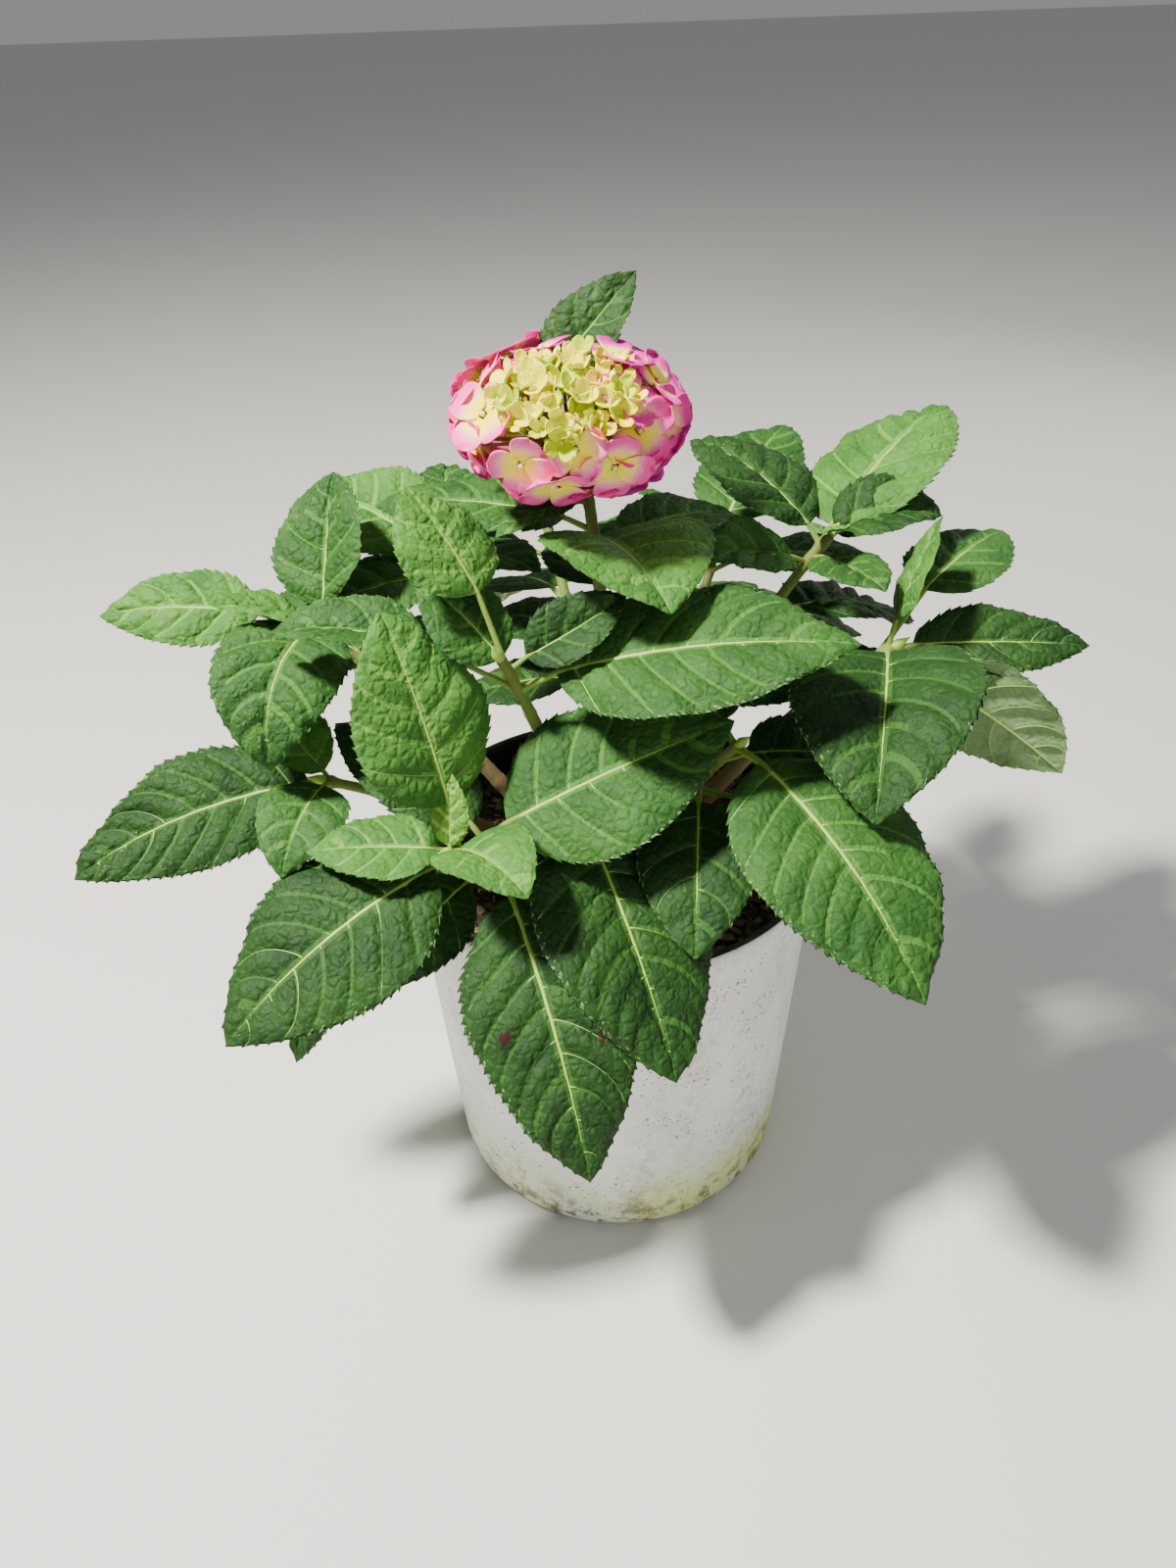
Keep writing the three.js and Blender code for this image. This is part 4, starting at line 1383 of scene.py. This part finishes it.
@dataclass
class PottingMix:
    """The mix: a lumpy top with bark chips and pale grains on it."""

    pot: Pot
    chips: int = 1500
    grains: int = 120
    around: int = 240
    rows: int = 110
    waist: float = 120.0
    seed: int = 12

    @property
    def edge(self) -> float:
        """Radius of the top."""
        return self.pot.side(MIX_TOP) - self.pot.wall - GAP

    def top(self, x: np.ndarray, y: np.ndarray) -> np.ndarray:
        """Height of the top: broad and fine ripples, a little lower by the wall.

        Args:
            x: places across.
            y: places towards the back.

        Returns:
            The height at each place, in millimetres.
        """
        total = MIX_TOP + 0.6 - 2.2 * smooth(70, 104, np.hypot(x, y))
        for height, size, seed in ((0.9, 22, 0.4), (0.7, 7, 1.9), (0.35, 2.6, 3.3)):
            total += height * ripple(x / size, y / size, seed)
        return total

    def build(self) -> None:
        """Makes and dresses the body, whose rings go up its side and in over its top, and bits."""
        low = self.pot.floor + GAP
        heights = np.array([low, low, low + 7, self.waist])
        insets = np.array([8.7, 2.5, 2.4])
        below = np.append(1.0, self.pot.side(heights[1:]) - insets)
        radii = np.append(below, np.linspace(self.edge, 0.6, self.rows))[:, None]
        grid = wheel(radii, 0.0, angles(self.around))
        grid[..., 2] = self.top(grid[..., 0], grid[..., 1])
        grid[: len(heights), :, 2] = heights[:, None]
        patch = rings(grid, [[0, 0, low], [0, 0, float(self.top(np.array(0.0), np.array(0.0)))]])
        shown("potting_mix_body", patch, [self.damp()], ["potting_mix"])
        shown("potting_mix_bits", self.bits(), self.bit_finishes(), ["potting_mix"], True)

    def bits(self) -> Patch:
        """Chips and grains: skewed boxes and small balls strewn over the top.

        Returns:
            The patch, with a bark's finish on each chip and the pale one on each grain.
        """
        rng = np.random.default_rng(self.seed)
        count = self.chips
        r = (self.edge - 3) * np.sqrt(rng.random(count))
        a = rng.random(count) * ROUND
        size = rng.lognormal(0.35, 0.45, (count, 3)) * [1.9, 0.85, 0.5]
        corner = np.array([[i, j, k] for i in (-1, 1) for j in (-1, 1) for k in (-1, 1)])
        box = corner * size[:, None, :] * (0.75 + 0.45 * rng.random((count, 8, 1)))
        spin, tilt = rng.random(count) * ROUND, rng.normal(0, 0.35, count)
        c, s = np.cos(tilt)[:, None], np.sin(tilt)[:, None]
        x, z = box[..., 0] * c - box[..., 2] * s, box[..., 0] * s + box[..., 2] * c
        c, s = np.cos(spin)[:, None], np.sin(spin)[:, None]
        px, py = r * np.cos(a), r * np.sin(a)
        at = np.stack([px, py, self.top(px, py) + 0.4 * size[:, 2]], -1)[:, None]
        points = at + np.stack([x * c - box[..., 1] * s, x * s + box[..., 1] * c, z], -1)
        faces = np.array([
            [0, 1, 3, 2], [4, 6, 7, 5], [0, 4, 5, 1], [2, 3, 7, 6], [0, 2, 6, 4], [1, 5, 7, 3]
        ])
        quads = (faces[None] + 8 * np.arange(count)[:, None, None]).reshape(-1, 4)
        kind = np.repeat(rng.integers(0, 3, count), len(faces))
        made = [Patch(points.reshape(-1, 3), quads, kind)]
        for _ in range(self.grains):
            q, b = (self.edge - 4) * math.sqrt(rng.random()), rng.random() * ROUND
            x, y = q * math.cos(b), q * math.sin(b)
            high = float(self.top(np.array(x), np.array(y))) + 0.5
            made.append(bead(np.array([x, y, high]), 0.7 + 0.9 * rng.random(3), 3, 3, 5))
        return joined(made)

    @staticmethod
    def damp() -> bpy.types.Material:
        """Dark damp crumbs.

        Returns:
            The material.
        """
        p = Paint("damp_mix")
        crumbs = p.cells(260)
        color = p.mix(p.noise(90, 4, 0.7).step(0.35, 0.7), (38, 29, 23), (74, 57, 43))
        p.bump(crumbs + p.noise(500, 4, 0.7), 0.0016, 0.8)
        return p.finish(Base_Color=color, Roughness=0.92)

    @staticmethod
    def bit_finishes() -> list[bpy.types.Material]:
        """Three barks and a pale grain.

        Returns:
            Their materials.
        """
        return mixed(
            PlainFinish("bark_dark", (58, 43, 33), 0.85, 600, 0.0006),
            PlainFinish("bark_brown", (94, 70, 50), 0.85, 600, 0.0006),
            PlainFinish("bark_grey", (112, 98, 80), 0.9, 600, 0.0006),
            PlainFinish("pale_grain", (214, 210, 200), 0.9, 900, 0.0004),
        )


# ---- studio


@dataclass
class Studio:
    """Pale floor, soft light and the camera, in metres."""

    camera_at: Place = (-0.012, -0.506, 0.599)
    pitch_down: float = 35.0
    lean: float = -2.0
    lens: float = 27.05
    sensor: float = 36.0
    floor_reach: float = 15.0
    floor_depth: float = 0.00005
    floor: PlainFinish = PlainFinish("floor_pale", (214, 212, 207), 0.8, 60, 0.0004, 0.2)

    @staticmethod
    def light(name: str, at: Place, size: float, power: float, color: Place) -> None:
        """Adds a square soft light that looks at the middle of the plant.

        Args:
            name: its name.
            at: where it hangs.
            size: its side.
            power: its power in watts.
            color: its linear colour.
        """
        data = bpy.data.lights.new(name, "AREA")
        data.size = size
        data.energy = power
        data.color = color
        z = unit(np.array(at) - [0, 0, 0.3])
        x = unit(np.cross([0.0, 0.0, 1.0], z))
        turn = Matrix(np.column_stack([x, np.cross(z, x), z]).tolist()).to_4x4()
        placed(name, data).matrix_world = Matrix.Translation(at) @ turn

    def build(self) -> None:
        """Makes the floor, lights, world and camera."""
        u = np.linspace(-self.floor_reach, self.floor_reach, 3)
        x, y = np.meshgrid(u, u, indexing="ij")
        corners = np.stack([x, y, 0 * x - self.floor_depth], -1).reshape(-1, 3)
        faces = lattice(np.arange(9).reshape(3, 3))[:, ::-1]
        mesh = bpy.data.meshes.new("floor")
        mesh.from_pydata(corners.tolist(), [], faces.tolist())
        mesh.materials.append(self.floor.made())
        placed("floor", mesh)
        self.light("key", (-0.85, -0.3, 1.85), 0.2, 122.0, (1.0, 0.965, 0.9))
        self.light("fill", (0.9, -1.5, 1.2), 1.6, 9.0, (0.95, 0.97, 1.0))
        self.light("rim", (1.1, 1.2, 0.9), 0.9, 6.0, (1.0, 0.98, 0.95))
        world = bpy.data.worlds.new("studio")
        world.use_nodes = True
        sky = world.node_tree.nodes["Background"]
        sky.inputs[0].default_value = (0.93, 0.96, 1.0, 1.0)
        sky.inputs[1].default_value = 0.28
        bpy.context.scene.world = world
        data = bpy.data.cameras.new("camera")
        data.lens = self.lens
        data.sensor_width = self.sensor
        data.clip_start = 0.01
        camera = placed("camera", data)
        turn = Matrix.Rotation(math.radians(90 - self.pitch_down), 4, "X")
        turn = turn @ Matrix.Rotation(math.radians(self.lean), 4, "Z")
        camera.matrix_world = Matrix.Translation(self.camera_at) @ turn
        bpy.context.scene.camera = camera


def main() -> None:
    """Builds the studio and each part of the plant."""
    logging.basicConfig(level=logging.INFO, format="%(message)s")
    Studio().build()
    shoots = [Shoot(name, *row) for name, row in SHOOTS.items()]
    Shrub(shoots).build(LeafFinishes())
    FlowerHead().build(shoots[0].leaf(0)[0])
    pot = Pot()
    pot.build()
    PottingMix(pot).build()
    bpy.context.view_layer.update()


if __name__ == "__main__":
    main()
